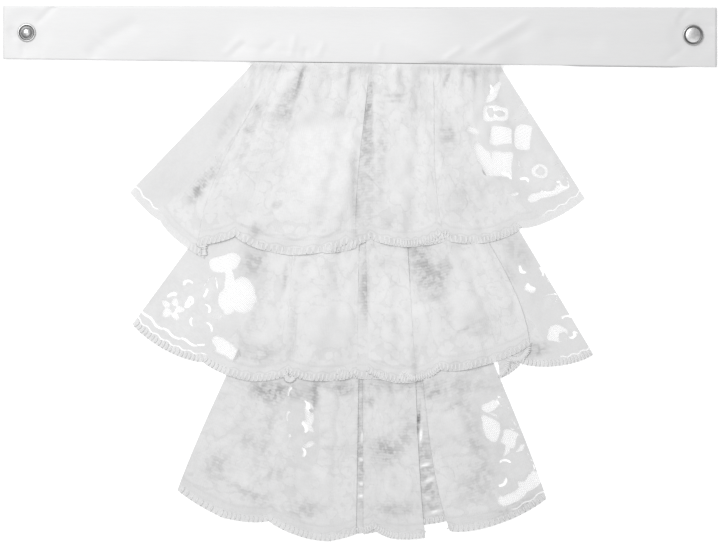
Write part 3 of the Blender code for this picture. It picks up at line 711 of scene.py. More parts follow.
def stemInside(a, w, shape):
    nearest = np.full_like(a, 99.0)
    for (a1, w1), (a2, w2) in zip(shape.points, shape.points[1:]):
        runA, runW = a2 - a1, w2 - w1
        along = np.clip(((a - a1) * runA + (w - w1) * runW) / (runA ** 2 + runW ** 2), 0.0, 1.0)
        nearest = np.minimum(nearest, np.hypot(a - a1 - along * runA, w - w1 - along * runW))
    return shape.halfWidth - nearest


def arc(a, w, radius, start, end, steps=8):
    angles = [math.radians(mix(start, end, step / steps)) for step in range(steps + 1)]
    return tuple((a + radius * math.cos(angle), w + radius * math.sin(angle)) for angle in angles)


def curl(a, w, radius, start, sweep, steps=12):
    spots = []
    for step in range(steps + 1):
        share = step / steps
        angle = math.radians(start + sweep * share)
        spots.append((a + radius * (1 - 0.75 * share) * math.cos(angle),
                      w + radius * (1 - 0.75 * share) * math.sin(angle)))
    return tuple(spots)


laceKinds = {
    "A": {  # big flower over a crescent of net
        "crescent": (-15.5, 15.5, 8.3, 7.0),
        "windows": (),
        "flowers": many(
            Flower,
            (4, 27, 14.0, 6, 10, 0.2, 4.3), (-18, 58, 9.0, 5, 20, 0.2, 2.6), (9, 66, 10.5, 6, 0, 0.22, 3.0),
            (-6, 97, 11, 5, 0, 0.22, 3.2),
        ),
        "leaves": many(
            Leaf,
            (-14, 45, 18, 8, 10), (22, 48, 18, 8, 65), (-22, 82, 18, 7, 110), (22, 90, 18, 8, 60),
            (-21, 27, 16, 8, 70), (6, 112, 16, 7, 20), (-8, 76, 16, 7, -20), (10, 84, 12, 6, 50),
        ),
        "stems": many(
            Stem, (((-30, 50), (-18, 49), (-6, 48.5), (4, 47), (12, 42)), 0.9), (arc(-4, 66, 14, 35, 150), 0.9),
        ),
        "slits": many(Stem, (arc(-17, 22, 8, -60, 60), 0.15), (arc(2, 108, 7, 200, 340), 0.15)),
    },
    "B": {  # double line along the hem, an open five-petalled flower and curls
        "lineAt": 9.6,
        "windows": petalHoles(-3, 26, 4.9),
        "flowers": many(
            Flower,
            (-3, 26, 12.5, 7, 0, 0.12, 0), (-9, 76, 9.5, 5, 0, 0.22, 2.8), (14, 92, 8, 5, 40, 0.22, 2.5),
            (18, 42, 6.5, 5, 0, 0.25, 1.8), (16, 66, 8.5, 5, 30, 0.25, 2.2), (-16, 106, 8, 5, 0, 0.2, 2.2),
        ),
        "leaves": many(
            Leaf,
            (-13, 48, 20, 9, 60), (3, 52, 20, 9, 100), (2, 68, 14, 6, 20), (-20, 92, 18, 8, 60), (19, 20, 14, 7, 40),
            (2, 90, 14, 6, 80), (4, 108, 16, 7, 150),
        ),
        "stems": (Stem(((23, 74), (21, 52), (22, 34)), 0.8),),
        "slits": many(
            Stem,
            (curl(9, 23, 5.2, 120, -400), 0.2), (arc(-4, 40, 11, 20, 85), 0.15), (arc(-12, 38, 9, 60, 165), 0.15),
            (arc(-18, 30, 5, 0, 90), 0.2), (arc(3, 37, 6, -10, 60), 0.15), (arc(-4, 60, 8, 190, 300), 0.15),
        ),
    },
    "C": {  # closer ground, two flowers
        "crescent": (-13.0, 11.0, 9.0, 4.2),
        "windows": (),
        "flowers": many(
            Flower,
            (-3, 27, 11.5, 5, 0, 0.22, 3.2), (3, 54, 10.5, 6, 20, 0.2, 3.0), (-15, 76, 8, 5, 10, 0.22, 2.4),
            (10, 96, 9, 5, 10, 0.22, 2.6), (16, 36, 5.5, 5, 10, 0.25, 1.5), (-18, 44, 6, 5, 40, 0.25, 1.7),
        ),
        "leaves": many(
            Leaf,
            (18, 62, 18, 8, 75), (-17, 60, 14, 7, 110), (3, 76, 16, 7, 40), (-8, 106, 16, 7, 150),
            (-18, 94, 12, 6, 40), (20, 82, 12, 6, 120),
        ),
        "stems": many(Stem, (((-19, 50), (-15, 36)), 0.7), (((14, 48), (11, 36)), 0.7)),
        "slits": many(Stem, (arc(13, 32, 6, 60, 200), 0.15), (curl(-17, 90, 4, 0, 380), 0.2)),
    },
}
laceKinds["D"] = {  # the plainest
    "windows": (), "flowers": laceKinds["C"]["flowers"][:3], "leaves": laceKinds["C"]["leaves"][:3],
    "stems": (), "slits": (),
}
cuspLeaf = Leaf(24, 24, 24, 8, 90)
patternKeys = ("cloth", "slit", "puff", "airy", "depth", "plain", "thin")
patternReach = 38.0  # how far a scallop's motifs reach from its middle
borderDepth = 8.0  # plain border along the hem


def stampShapes(rows, a, w, fields):
    window, motif, slit = fields
    for shape in rows["windows"]:
        window = np.maximum(window, ovalInside(a, w, shape))
    for shape in rows.get("holes", ()):
        slit = np.minimum(slit, np.maximum(0.3 - stemInside(a, w, shape), 0.0))
    for shape in rows["flowers"]:
        inside = flowerInside(a, w, shape)
        du, dw = a - shape.a, w - shape.w
        far, angle = np.hypot(du, dw), np.arctan2(dw, du) + math.radians(shape.turn)
        gone = 1.5 * smooth((0.1 - np.cos(1.5 * angle + shape.a)) / 0.3)
        slit = np.minimum(slit, np.abs(inside) + gone)
        if shape.eye:
            window = np.maximum(window, np.minimum(shape.eye - far, far - shape.eye * 0.5))
            ray = np.abs(np.cos(shape.petals * angle / 2)) * far * 2 / shape.petals
            off = np.maximum(shape.eye * 1.5 - far, far - shape.radius * 0.85)
            slit = np.minimum(slit, np.maximum(ray, off) + 0.2)
            inside = np.minimum(inside, np.maximum(far - shape.eye, shape.eye * 0.5 - far))
        motif = np.maximum(motif, inside)
    for shape in rows["leaves"] + (cuspLeaf,) * ("slits" in rows):
        inside = leafInside(a, w, shape)
        du, dw = turned(a, w, shape)
        vein = np.maximum(np.abs(dw), np.abs(du) - shape.length * 0.3)
        gone = 1.5 * smooth((shape.length * 0.1 - du) / 2.0)
        slit = np.minimum(slit, np.minimum(np.abs(inside) + gone, vein + 0.2))
        motif = np.maximum(motif, inside)
    for shape in rows["stems"]:
        motif = np.maximum(motif, stemInside(a, w, shape))
    for shape in rows.get("slits", ()):
        slit = np.minimum(slit, np.maximum(-stemInside(a, w, shape), 0.0))
    return window, motif, slit


def sway(a, w):
    along = a + 0.8 * np.sin(w / 2.9 + 1.7 * np.sin(a / 5.3)) + 0.35 * np.sin(w / 1.3 + a / 4.1)
    across = w + 0.8 * np.sin(a / 2.6 + 1.4 * np.sin(w / 6.1)) + 0.35 * np.sin(a / 1.2 + w / 3.7)
    return along, across


def lacePattern(tier, x, y, u, w, edge):
    window = np.full(u.shape, -9.0)  # inside a gap of bare net, positive
    motif = np.full(u.shape, -9.0)  # inside a flower, leaf or stem, positive
    slit = np.full(u.shape, 9.0)  # distance from the nearest fine open line
    swayU, swayW = sway(u, w)
    for number in range(int(u.min() // scallopPitch), int(u.max() // scallopPitch) + 1):
        centre = (number + 0.5) * scallopPitch
        spot = np.nonzero(np.abs(u - centre) < patternReach)
        a, fromHem = u[spot] - centre, edge[spot]
        kind = laceKinds[tier["kinds"][number % len(tier["kinds"])]]
        fields = window[spot], motif[spot], slit[spot]
        fields = stampShapes(kind, swayU[spot] - centre, swayW[spot], fields)
        if "crescent" in kind:
            low, high, start, deep = kind["crescent"]
            across = np.clip(1.0 - ((a - (low + high) / 2) / ((high - low) / 2)) ** 2, 0.0, 1.0)
            shape = np.minimum(fromHem - start, start + deep * across ** 0.5 - fromHem)
            fields = np.maximum(fields[0], np.minimum(shape, np.minimum(a - low, high - a))), fields[1], fields[2]
        if "lineAt" in kind:
            line = np.maximum(np.abs(fromHem - kind["lineAt"] + 0.7 * np.sin(a / 1.9)) - 0.42, np.abs(a) - 21.5)
            fields = fields[0], fields[1], np.minimum(fields[2], line)
        window[spot], motif[spot], slit[spot] = fields
    cloth = np.minimum(np.maximum(motif, -1.0), -window)
    plain = np.full(u.shape, -9.0)
    for shape in tier["placed"]["clear"]:
        plain = np.maximum(plain, ovalInside(x, y, shape))
    slit = np.where(edge > 12.0, np.maximum(slit, plain), slit)
    quiet = np.zeros(u.shape)
    for shape in tier["placed"]["quiet"]:
        quiet = np.maximum(quiet, smooth((ovalInside(x, y, shape) + 4.0) / 9.0))
    slit = slit + 3.0 * quiet
    cloth = mix(cloth, np.maximum(cloth, 1.0), quiet)
    fine = (0.4 * np.sin(x / 1.5 + 1.5 * np.sin(y / 2.3)) + 0.5 * np.sin(y / 3.4 + x / 5.6),
            0.4 * np.sin(y / 1.4 + 1.5 * np.sin(x / 2.7)) + 0.5 * np.sin(x / 3.1 + y / 4.9))
    blank = np.full(u.shape, -9.0), np.full(u.shape, -9.0), slit
    holes, shapes, slit = stampShapes(tier["placed"], x + fine[0], y + fine[1], blank)
    cloth = np.maximum(np.minimum(np.maximum(cloth, plain), -holes), shapes)
    cloth = np.where(edge < borderDepth, np.maximum(cloth, borderDepth - edge), cloth)
    puff = np.clip(np.maximum(np.where(plain > 0.0, -9.0, motif), shapes), 0.0, 2.5) * (1.0 - 0.7 * quiet)
    # depth is painted shade: the ripples' troughs and the hollows darken the colour, and each tier adds its own
    # painted shade, lighter where negative
    depth = np.clip(-rippleHeight(tier["ripples"], x, y), 0.0, 2.0) + hollowDepth(tier["placed"]["shadedHollows"], x, y)
    depth = depth + tier["shade"]
    airy = smooth(np.minimum(holes, -shapes) + 1.5)
    thin = smooth((plain + 1.0) / 2.0)
    plain = smooth((np.maximum(plain, 9.0 - edge) + 1.0) / 2.0)
    return dict(zip(patternKeys, (cloth, slit, puff, airy, depth, plain, thin)))


def scatteredFlowers(finish, u, w, cell, radius, petals, shift):
    spot = finish.node("CombineXYZ", None, {0: u / cell + shift, 1: w / cell, 2: 0.0})
    cells = finish.node("TexVoronoi", {"voronoi_dimensions": "2D"}, {"Vector": spot, "Scale": 1.0, "Randomness": 0.8})
    colour, centre = cells.others("Color", "Position")
    chanceTurn, chanceSize = finish.node("SeparateColor", None, {0: colour}).others(0, 1)
    offset = finish.node("VectorMath", {"operation": "SUBTRACT"}, {0: spot, 1: centre})
    across, along = [part * cell for part in finish.node("SeparateXYZ", None, {0: offset}).others(0, 1)]
    far = (across * across + along * along).reckon("SQRT")
    angle = along.reckon("ARCTAN2", across) + chanceTurn * 6.28
    lobe = (angle * (petals / 2)).cos().size()
    inside = (lobe * 0.28 + 0.72) * (chanceSize * 0.5 + 0.75) * radius - far
    eye = far.between(radius * 0.2, radius * 0.28)
    ray = (angle * (petals / 2)).cos().size() * far
    ray = ray.between(0.25, 0.1) * far.between(radius * 0.3, radius * 0.45)
    return inside, eye, ray


def laceMaterial():
    finish = Finish("whiteLace", Roughness=0.8, Specular_IOR_Level=0.25)
    spot = finish.node("Attribute", {"attribute_name": "laceSpot"}, output=1)
    u, w, edge = finish.node("SeparateXYZ", None, {0: spot}).others(0, 1, 2)
    cloth, slit, puff, airy, depth, plain, thin = [finish.node("Attribute", {"attribute_name": key}, output=2)
                                                   for key in patternKeys]
    grain = finish.noise(900.0, 2.0)
    wander = finish.noise(330.0, 1.0)
    bendU, bendW = u + wander * 1.6, w - wander * 1.6
    bloom, bloomEye, bloomRay = scatteredFlowers(finish, bendU, bendW, 12.0, 5.6, 5, 3.0)
    buds = scatteredFlowers(finish, bendU, bendW, 6.6, 2.9, 3, 8.0)[0]
    free = (1.0 - plain) * (1.0 - airy) * cloth.between(0.4, -0.6)
    small = (bloom.between(-0.15, 0.15) * bloomEye).most(buds.between(-0.15, 0.15)) * free
    dense = cloth.between(-0.2, 0.2).most(small)
    turn = 2 * math.pi / knitting["netMesh"]
    mesh = ((u * turn).cos() + (u * (turn / 2) + w * (turn * 0.866)).cos()
            + (u * (turn / 2) - w * (turn * 0.866)).cos())
    bareNet = mesh.between(-0.3, -1.15, 0.34, 0.68)
    closeNet = mesh.between(2.6, 0.6, 0.95, 1.0)
    net = bareNet * airy + closeNet * (1.0 - airy)
    knit = (u * (2 * math.pi / knitting["stitchWidth"])).cos() * 0.5
    knit = knit + (w * (2 * math.pi / knitting["stitchHeight"])).cos() * 0.5
    broken = finish.noise(190.0, 1.0).between(0.53, 0.6)
    outline = bloom.size().least(buds.size() + (1.0 - broken)).between(0.28, 0.08)
    lines = (outline * broken).most(bloomRay * bloom.between(0.3, 0.6)) * (1.0 - plain * 0.6) * cloth.between(1.2, 0.2)
    slitOpen = slit.between(0.5, 0.15)
    borderLine = ((u * 0.9).cos() * 0.5 + edge - 4.9).size().between(0.55, 0.25)
    rib = (u * (2 * math.pi / ribs["pitch"])).cos().between(-0.3, 0.4)
    opened = (slitOpen * (thin * 0.83 + 0.05)).most(borderLine * (thin * 0.72 + 0.08)).most(lines * 0.04)
    opened = opened * edge.between(3.9, 4.1)
    body = dense + (1.0 - dense) * net
    body = body * (1.0 - opened)
    rim = edge.between(4.15, 3.95)
    alpha = body * (1.0 - rim) + rim * (rib * 0.12 + 0.86)
    cloud = finish.noise(48.0, 3.0)
    # rim * 0.03 paints the hem rim and its ribs lighter, a painted lift against their shade
    tone = (puff * 0.008 + dense * 0.024 + rim * 0.03 - plain * 0.02 + grain * 0.04 + knit * 0.01 + cloud * 0.09
            + small * 0.008 + 0.513)
    courses = (w * 3.7 + wander * 5.0).cos().between(-0.3, 0.7)
    mottle = finish.noise(300.0, 2.0).between(0.42, 0.58) * 0.75 + courses * 0.25
    # depth darkens the base colour as painted shade, broken up by mottle and courses
    tone = (tone - lines * 0.010 - slitOpen * 0.012) * (1.0 - depth * (mottle * 0.16 + 0.08))
    shade = finish.blend(tone, (0, 0, 0, 1), (1, 1, 1.004, 1))
    raised = dense * 0.2 + puff * 0.13 + knit * 0.1 + grain * 0.2 - slitOpen * 0.05 - lines * 0.035
    finish.wear(Base_Color=shade, Alpha=alpha, Normal=finish.bump(raised, 0.0004, 0.5))
    return finish.material


lace = laceMaterial()


def addTier(name, node, tier, heights):
    points, u, w, edge, low = tierSurface(tier, draped(heights), np.mean(list(shifted(heights, 3.0)), axis=0))
    pattern = lacePattern(tier, points[..., 0], points[..., 1], u, w, edge)
    # painted shade from the shaded rows, on the lowest layers only
    pattern["depth"] = pattern["depth"] + hollowDepth(tier["placed"]["shaded"], points[..., 0], points[..., 1]) * low
    mesh = gridMesh(name, points)
    spot = mesh.attributes.new("laceSpot", "FLOAT_VECTOR", "POINT")
    spot.data.foreach_set("vector", np.stack([u, w, edge], axis=-1).astype(np.float32).ravel())
    for key, values in pattern.items():
        mesh.attributes.new(key, "FLOAT", "POINT").data.foreach_set("value", values.astype(np.float32).ravel())
    piece = addPiece(name, mesh, lace, "lace", node)
    raiseSurface(heights, points)
    print(name, len(mesh.polygons), "faces, z", round(points[..., 2].min(), 2), "to", round(points[..., 2].max(), 2))
    return piece, points, u, edge


# Hem ribs: one small instance on each rib's place

def ribTree():
    tree = bpy.data.node_groups.new("hemRibs", "GeometryNodeTree")
    face = tree.interface
    face.new_socket("Geometry", in_out="INPUT", socket_type="NodeSocketGeometry")
    for key in ("Rib length", "Rib width", "Rib height"):
        face.new_socket(key, in_out="INPUT", socket_type="NodeSocketFloat")
    face.new_socket("Geometry", in_out="OUTPUT", socket_type="NodeSocketGeometry")
    add = tree.nodes.new
    link = tree.links.new
    start, end = add("NodeGroupInput"), add("NodeGroupOutput")
    bead = add("GeometryNodeMeshUVSphere")
    bead.inputs["Segments"].default_value = 6
    bead.inputs["Rings"].default_value = 4
    bead.inputs["Radius"].default_value = 0.5
    size = add("ShaderNodeCombineXYZ")
    along = add("GeometryNodeInputNamedAttribute")
    along.data_type = "FLOAT_VECTOR"
    along.inputs["Name"].default_value = "along"
    facing = add("FunctionNodeAlignRotationToVector")
    facing.pivot_axis = "Z"  # a rib at a returning fold turns round instead of over
    facing.axis = "X"
    jitter = add("FunctionNodeRandomValue")
    jitter.data_type = "FLOAT"
    jitter.inputs[2].default_value = 0.85
    jitter.inputs[3].default_value = 1.15
    jitter.inputs["Seed"].default_value = 4
    vary = add("ShaderNodeVectorMath")
    vary.operation = "SCALE"
    place = add("GeometryNodeInstanceOnPoints")
    real = add("GeometryNodeRealizeInstances")
    soft = add("GeometryNodeSetShadeSmooth")
    paint = add("GeometryNodeSetMaterial")
    paint.inputs["Material"].default_value = lace
    for index, key in enumerate(("Rib width", "Rib length", "Rib height")):
        link(start.outputs[key], size.inputs[index])
    for first, output, last, socket in (
        (along, "Attribute", facing, "Vector"), (facing, "Rotation", place, "Rotation"),
        (size, "Vector", vary, 0), (jitter, 1, vary, "Scale"), (vary, "Vector", place, "Scale"),
        (start, "Geometry", place, "Points"), (bead, "Mesh", place, "Instance"),
        (place, "Instances", real, "Geometry"), (real, "Geometry", soft, "Geometry"),
        (soft, "Geometry", paint, "Geometry"), (paint, "Geometry", end, "Geometry"),
    ):
        link(first.outputs[output], last.inputs[socket])
    return tree


ribNodes = ribTree()


def plainCopy(maker, name):
    graph = bpy.context.evaluated_depsgraph_get()
    mesh = bpy.data.meshes.new_from_object(maker.evaluated_get(graph))
    mesh.name = name
    bpy.data.objects.remove(maker)
    return mesh


def addRibs(name, points, u, edge, skip):
    columns = points.shape[1]
    line = np.empty((columns, 3))
    for column in range(columns):
        for axis in range(3):
            line[column, axis] = np.interp(ribs["middle"], edge[::-1, column], points[::-1, column, axis])
    counts = u[-1] / ribs["pitch"]
    first = math.ceil(counts[0] + skip * scallopPitch / ribs["pitch"] + 0.3)
    last = math.floor(counts[-1] - 0.8 * skip * scallopPitch / ribs["pitch"] - 0.3)
    wanted = np.arange(first, last + 1)
    spots = np.stack([np.interp(wanted, counts, line[:, axis]) for axis in range(3)], axis=-1)
    ahead = np.stack([np.interp(wanted + 0.15, counts, line[:, axis]) for axis in range(3)], axis=-1)
    spots[:, 2] = np.maximum(spots[:, 2], ribs["lowest"])
    along = ahead - spots
    mesh = bpy.data.meshes.new(name)
    mesh.from_pydata((spots * mm).tolist(), [], [])
    heading = mesh.attributes.new("along", "FLOAT_VECTOR", "POINT")
    heading.data.foreach_set("vector", along.astype(np.float32).ravel())
    maker = addObject(name + "Maker", mesh)
    modifier = maker.modifiers.new("ribs", "NODES")
    modifier.node_group = ribNodes
    for item in ribNodes.interface.items_tree:
        if item.in_out == "INPUT" and item.name in ribs:
            modifier[item.identifier] = ribs[item.name] * mm
    made = plainCopy(maker, name)
    return addPiece(name, made, None, "lace")


heights = np.zeros([round(2 * mapping[half] / mapping["step"]) + 1 for half in ("halfX", "halfY")])
raiseBlock(heights, (-backing["halfWidth"], pageY(backing["endDrop"])), (backing["halfWidth"], bandBottom(0.0)),
           whole["wall"])

for name, node, tier in (("lowerTier", "tier_lower", lowerTier), ("middleTier", "tier_middle", middleTier),
                         ("upperTier", "tier_upper", upperTier)):
    piece, points, u, edge = addTier(name, node, tier, heights)
    hem = addRibs(name + "Ribs", points, u, edge, 0.95 * tier["inBand"])
    cutLength, cutArea = flatCut(tier)
print("tiers made")


# Neckband

bandRipples = many(
    Ripple,
    (-181.7, 139.9, -169.9, 151.7, 1.6, -0.55), (-196.5, 138, -193, 131, 2.2, -0.4),
    (-189, 129, -189, 121, 1.4, -0.35), (-179, 128, -178, 119, 1.2, -0.25), (-152, 121, -145, 130, 4.0, -0.5),
    (-145, 130, -124, 141.5, 4.5, -0.55), (-77, 122, -66, 133, 1.6, 0.3), (-72, 122, -64, 130, 1.2, -0.3),
    (-56, 123, -46, 131, 2.2, -0.3), (-39, 121, -36, 134, 1.5, 0.3), (-31, 120, -30, 127, 1.4, -0.3),
    (-74, 127, -24, 123.5, 2.2, -0.2), (-24, 121, -20, 130, 1.6, 0.3), (10, 120, 12, 130, 1.8, 0.2),
    (34, 119, 52, 150, 26, 1.2), (-120, 122, -95, 134, 9, 0.3), (47, 119.5, 58, 127, 1.5, 0.5),
    (62, 123, 96, 143.5, 2.2, 0.5), (68, 122, 98, 138, 3.0, -0.45), (104, 133, 136, 129, 5.0, -0.5),
    (177, 141, 185.5, 149, 1.5, -0.45), (187, 140, 200, 138, 1.3, -0.4), (188, 137, 200, 133, 1.3, 0.3),
    (171, 119, 183, 127, 1.6, -0.4), (180, 146, 176, 139, 1.4, 0.3),
)


def bandFront(x, share):
    swell = band["swell"] * smooth((band["swellReach"] + band["swellFade"] - np.abs(x - 8.0)) / band["swellFade"])
    height = band["thickness"] + swell * (1.0 - smooth(share / 0.85))
    y = mix(bandBottom(x), bandTop(x), share)
    for snapX, snapY in (studSpot, capSpot):
        height = height - band["snapPinch"] * smooth(2.0 - np.hypot(x - snapX, y - snapY) / band["pinchRadius"])
    fade = smooth(share / 0.04) * smooth((1.0 - share) / 0.04)
    return height + rippleHeight(bandRipples, x, y) * fade


def bandPoints():
    stations = round(band["length"] / band["stationStep"])
    x = band["length"] * (np.arange(stations + 1) / stations - 0.5)
    low, top = bandBottom(x), bandTop(x)
    section = [(low - bandPeek(x), 0 * x)]
    section += [(mix(low, top, step / 18), 0 * x) for step in range(1, 18)]
    crown = bandFront(x, np.ones_like(x))
    for step in range(8):
        angle = math.pi * step / 8
        section.append((top - band["foldRound"] * (1.0 - math.sin(angle)), crown * (1.0 - math.cos(angle)) / 2))
    for step in range(34):
        share = np.full_like(x, mix(0.96, 0.02, step / 33))
        section.append((mix(low, top, share), bandFront(x, share)))
    lip = bandFront(x, np.zeros_like(x))
    for inward, down in ((0.3, 0.02), (0.08, 0.18), (0.0, 0.4), (0.06, 0.7), (0.3, 0.95)):
        section.append((low + inward, lip - down))
    section.append((low + band["groove"], mix(whole["wall"], lip - whole["wall"], 0.5)))
    section.append((low - bandPeek(x), 0 * x + whole["wall"] - 0.15))
    return np.stack([np.stack([x, y, z], axis=-1) for y, z in section])


def makeBandMesh():
    points = bandPoints()
    around, along = points.shape[:2]
    index = np.arange(around * along).reshape(around, along)
    after = np.roll(index, -1, axis=0)
    faces = np.stack([index[:, :-1], index[:, 1:], after[:, 1:], after[:, :-1]], axis=-1).reshape(-1, 4).tolist()
    faces.append(index[:, 0].tolist())
    faces.append(index[::-1, -1].tolist())
    mesh = bpy.data.meshes.new("neckbandSatin")
    mesh.from_pydata((points.reshape(-1, 3) * mm).tolist(), [], faces)
    return mesh


def roundCutter(radius, bottom, top, spot):
    sides = 48
    angles = [2 * math.pi * t / sides for t in range(sides)]
    ring = [(spot[0] + radius * math.cos(angle), spot[1] + radius * math.sin(angle)) for angle in angles]
    verts = [(x * mm, y * mm, z * mm) for z in (bottom, top) for x, y in ring]
    faces = [tuple(reversed(range(sides))), tuple(range(sides, 2 * sides))]
    faces += [(t, (t + 1) % sides, sides + (t + 1) % sides, sides + t) for t in range(sides)]
    mesh = bpy.data.meshes.new("cutter")
    mesh.from_pydata(verts, [], faces)
    return addObject("cutter", mesh)


def satinMaterial():
    finish = Finish("whiteSatin", Roughness=0.42, Specular_IOR_Level=0.45, Sheen_Weight=0.25, Sheen_Roughness=0.4)
    cloud = finish.noise(9.0, 1.0, stretch=(0.6, 1.4, 1))
    threads = finish.noise(1500.0, 2.0, stretch=(0.12, 1.0, 1.0))
    slub = finish.noise(160.0, 3.0, stretch=(0.1, 1.2, 1.0))
    tone = cloud * 0.05 + threads * 0.03 + slub * 0.02 + 0.53
    shade = finish.blend(tone, (0, 0, 0, 1), (1, 1, 1.006, 1))
    finish.wear(Base_Color=shade, Normal=finish.bump(threads * 0.5 + slub * 0.5, 0.00005, 0.5))
    return finish.material


satin = satinMaterial()
bandMaker = addObject("bandMaker", makeBandMesh())
cutters = []
for spot, hole in ((studSpot, snaps["postRadius"] + snaps["fit"]),
                   (capSpot, snaps["postRadius"] + 2 * snaps["fit"] + 0.3)):
    cutters.append(roundCutter(snaps["ringRadius"] + snaps["fit"], -1.0, snaps["ringHeight"] + 0.3, spot))
    cutters.append(roundCutter(hole, -2.0, 6.0, spot))
for cutter in cutters:
    modifier = bandMaker.modifiers.new("cut", "BOOLEAN")
    modifier.operation = "DIFFERENCE"
    modifier.solver = "EXACT"
    modifier.object = cutter
bandMesh = plainCopy(bandMaker, "neckbandSatin")
for cutter in cutters:
    bpy.data.objects.remove(cutter)
bandMesh.shade_smooth()
bandPiece = addPiece("neckbandSatin", bandMesh, satin, "satin", "neckband")
print("neckband made,", len(bandMesh.polygons), "faces")


# Backing

def liningMaterial():
    finish = Finish("plainCotton", Roughness=0.9, Specular_IOR_Level=0.2)
    weave, cross = [finish.node("TexWave", {"bands_direction": axis},
                                {"Scale": 500.0, "Distortion": 0.4, "Vector": finish.place()}) for axis in "XY"]
    cloth = weave * 0.5 + cross * 0.5
    shade = finish.blend(cloth * 0.04 + finish.noise(60.0) * 0.05 + 0.70, (0, 0, 0, 1), (1, 1, 1, 1))
    finish.wear(Base_Color=shade, Normal=finish.bump(cloth, 0.0001, 0.4))
    return finish.material


lining = liningMaterial()


def backingPoints():
    low = pageY(backing["endDrop"])
    half = backing["halfWidth"]
    across = np.linspace(-1.0, 1.0, 57)
    down = np.linspace(0.0, 1.0, 81)[:, None]
    x = np.broadcast_to(across * half, (81, 57))
    top = bandBottom(x) - whole["seamGap"]
    y = mix(top, low, down)
    z = 0.5 + 0.0 * x
    return np.stack([x, y, z], axis=-1)


backingMesh = gridMesh("backingPanel", backingPoints())
backingPiece = addPiece("backingPanel", backingMesh, lining, "backing_cloth", "backing")
shell = backingPiece.modifiers.new("cloth", "SOLIDIFY")
shell.thickness = backing["thickness"] * mm
shell.offset = 0.0
print("backing made")


# Snap halves

def metalMaterial(name, worn0, worn1):
    finish = Finish(name, Metallic=1.0, Roughness=0.3)
    worn = finish.noise(700.0, 3.0)
    scratch = finish.noise(2500.0, 2.0, stretch=(0.08, 1.0, 1.0))
    shade = finish.blend(worn, grey(worn0), grey(worn1))
    finish.wear(Base_Color=shade, Roughness=worn * 0.2 + scratch * 0.15 + 0.16,
                Normal=finish.bump(scratch, 0.00002, 0.3))
    return finish.material


nickel = metalMaterial("nickelPlate", 0.42, 0.66)
# Darker metal for the recessed ring of each snap front: painted shade in the groove
grooveShadeNickel = metalMaterial("nickelGrooveShade", 0.10, 0.2)


def addTurned(name, profile, spot, node, shadedRing=(0.0, 0.0)):
    steps = snaps["steps"]
    spin = np.arange(steps) * 2 * math.pi / steps
    rings, verts, faces = [], [], []
    for radius, height in profile:
        if radius < 1e-6:
            rings.append([len(verts)])
            verts.append((spot[0] * mm, spot[1] * mm, height * mm))
        else:
            rings.append(list(range(len(verts), len(verts) + steps)))
            verts += [((spot[0] + radius * math.cos(t)) * mm, (spot[1] + radius * math.sin(t)) * mm, height * mm)
                      for t in spin]
    closing = [] if len(rings[0]) == 1 else [(rings[-1], rings[0])]
    for upper, lower in list(zip(rings, rings[1:])) + closing:
        for step in range(steps):
            after = (step + 1) % steps
            if len(upper) == 1:
                faces.append((upper[0], lower[step], lower[after]))
            elif len(lower) == 1:
                faces.append((upper[step], lower[0], upper[after]))
            else:
                faces.append((upper[step], lower[step], lower[after], upper[after]))
    mesh = bpy.data.meshes.new(name)
    mesh.from_pydata(verts, [], faces)
    mesh.shade_smooth()
    mesh.materials.append(nickel)
    mesh.materials.append(grooveShadeNickel)
    for face in mesh.polygons:
        far = math.hypot(face.center.x / mm - spot[0], face.center.y / mm - spot[1])
        # faces in the shaded ring higher than 2 mm take the painted-shade metal
        face.material_index = int(shadedRing[0] < far < shadedRing[1] and face.center.z / mm > 2.0)
    return addPiece(name, mesh, None, "snap_metal", node)


def seated(*rows):
    return tuple((radius, seat + above) for radius, above in rows)


seat = band["thickness"] - band["snapPinch"] + whole["seamGap"]
addTurned("studFront", seated(
    (0.0, 2.0), (0.5, 1.98), (1.0, 1.9), (1.6, 1.7), (2.1, 1.4), (2.4, 1.0), (2.55, 0.6), (2.8, 0.4), (3.6, 0.3),
    (3.95, 0.42), (4.15, 0.66), (4.45, 0.75), (4.8, 0.68), (5.05, 0.45), (5.1, 0.3), (5.0, 0.1), (4.8, 0), (2.0, 0),
) + ((2.0, 0.45), (1.9, 0.35), (0.0, 0.35)), studSpot, "snap_stud", shadedRing=(2.7, 4.3))
bore = snaps["postRadius"] + snaps["fit"]
addTurned("studBackRing", (
    (bore, 0.75), (4.5, 0.75), (4.85, 0.62), (5.0, 0.38), (4.85, 0.12), (4.6, 0.0), (bore + 0.3, 0.0), (bore, 0.15),
), studSpot, "snap_stud_ring")
addTurned("capFront", seated(
    (0.0, 0.95), (1.2, 0.93), (2.4, 0.86), (3.4, 0.72), (4.1, 0.55), (4.35, 0.5), (4.5, 0.6), (4.65, 0.82),
    (4.95, 0.92), (5.35, 0.88), (5.65, 0.65), (5.8, 0.4), (5.72, 0.12), (5.5, 0), (2.0, 0), (2.0, -0.3), (0.0, -0.3),
), capSpot, "snap_cap", shadedRing=(4.2, 5.3))
hub = snaps["postRadius"] + snaps["fit"] + 0.25
hubTop = seat - 0.6
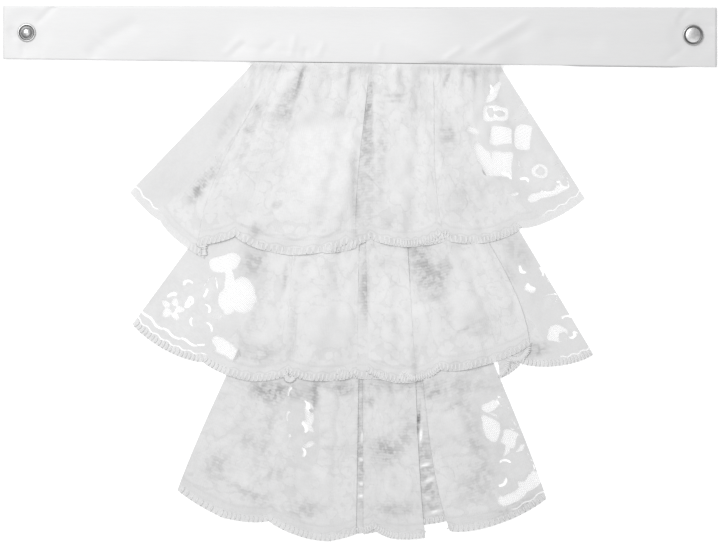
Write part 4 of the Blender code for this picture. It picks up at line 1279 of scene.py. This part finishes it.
addTurned("socketBack", (
    (0.0, hubTop), (hub - 0.15, hubTop), (hub, hubTop - 0.15), (hub, 0.75), (4.5, 0.75), (4.85, 0.62), (5.0, 0.38),
    (4.85, 0.12), (4.6, 0.0), (2.1, 0.0), (1.9, 0.12), (1.9, hubTop - 0.35), (0.0, hubTop - 0.35),
), capSpot, "snap_socket")
print("snaps made")


# Floor, light and camera

photo = {"width": 720, "height": 545, "mmPerPixel": 0.561, "middleX": 359.9, "middleY": 273.35}

floorMesh = bpy.data.meshes.new("floor")
floorMesh.from_pydata([(-3, -3, 0), (3, -3, 0), (3, 3, 0), (-3, 3, 0)], [], [(0, 1, 2, 3)])
floor = addObject("floor", floorMesh)
floor.location.z = -0.0004
paper = Finish("paleFloor", Roughness=0.9, Base_Color=grey(0.85), Specular_IOR_Level=0.1, Emission_Color=(1, 1, 1, 1),
               Emission_Strength=0.35)
floorMesh.materials.append(paper.material)


def addLight(name, spot, aim, size, power):
    light = bpy.data.lights.new(name, "AREA")
    light.shape = "DISK"
    light.size = size
    light.energy = power
    item = addObject(name, light)
    item.location = spot
    item.rotation_euler = (Vector(aim) - Vector(spot)).to_track_quat("-Z", "Y").to_euler()


addLight("key", (-0.36, 0.5, 0.82), (0, 0.05, 0), 0.9, 8.35)
addLight("fill", (0.3, -0.7, 1.4), (0, 0, 0), 1.4, 5.0)
world = bpy.data.worlds.new("studio")
bpy.context.scene.world = world
world.use_nodes = True
background = world.node_tree.nodes["Background"].inputs
background["Color"].default_value = (1, 1, 1, 1)
background["Strength"].default_value = 0.62

camera = bpy.data.cameras.new("camera")
cameraItem = addObject("camera", camera)
bpy.context.scene.camera = cameraItem
cameraHeight = 2.5
camera.sensor_width = 36.0
camera.lens = 36.0 * cameraHeight / (photo["width"] * photo["mmPerPixel"] * mm)
cameraItem.location = ((photo["width"] / 2 - photo["middleX"]) * photo["mmPerPixel"] * mm,
                       (photo["middleY"] - photo["height"] / 2) * photo["mmPerPixel"] * mm, cameraHeight + 0.003)
bpy.context.scene.view_settings.view_transform = "Standard"
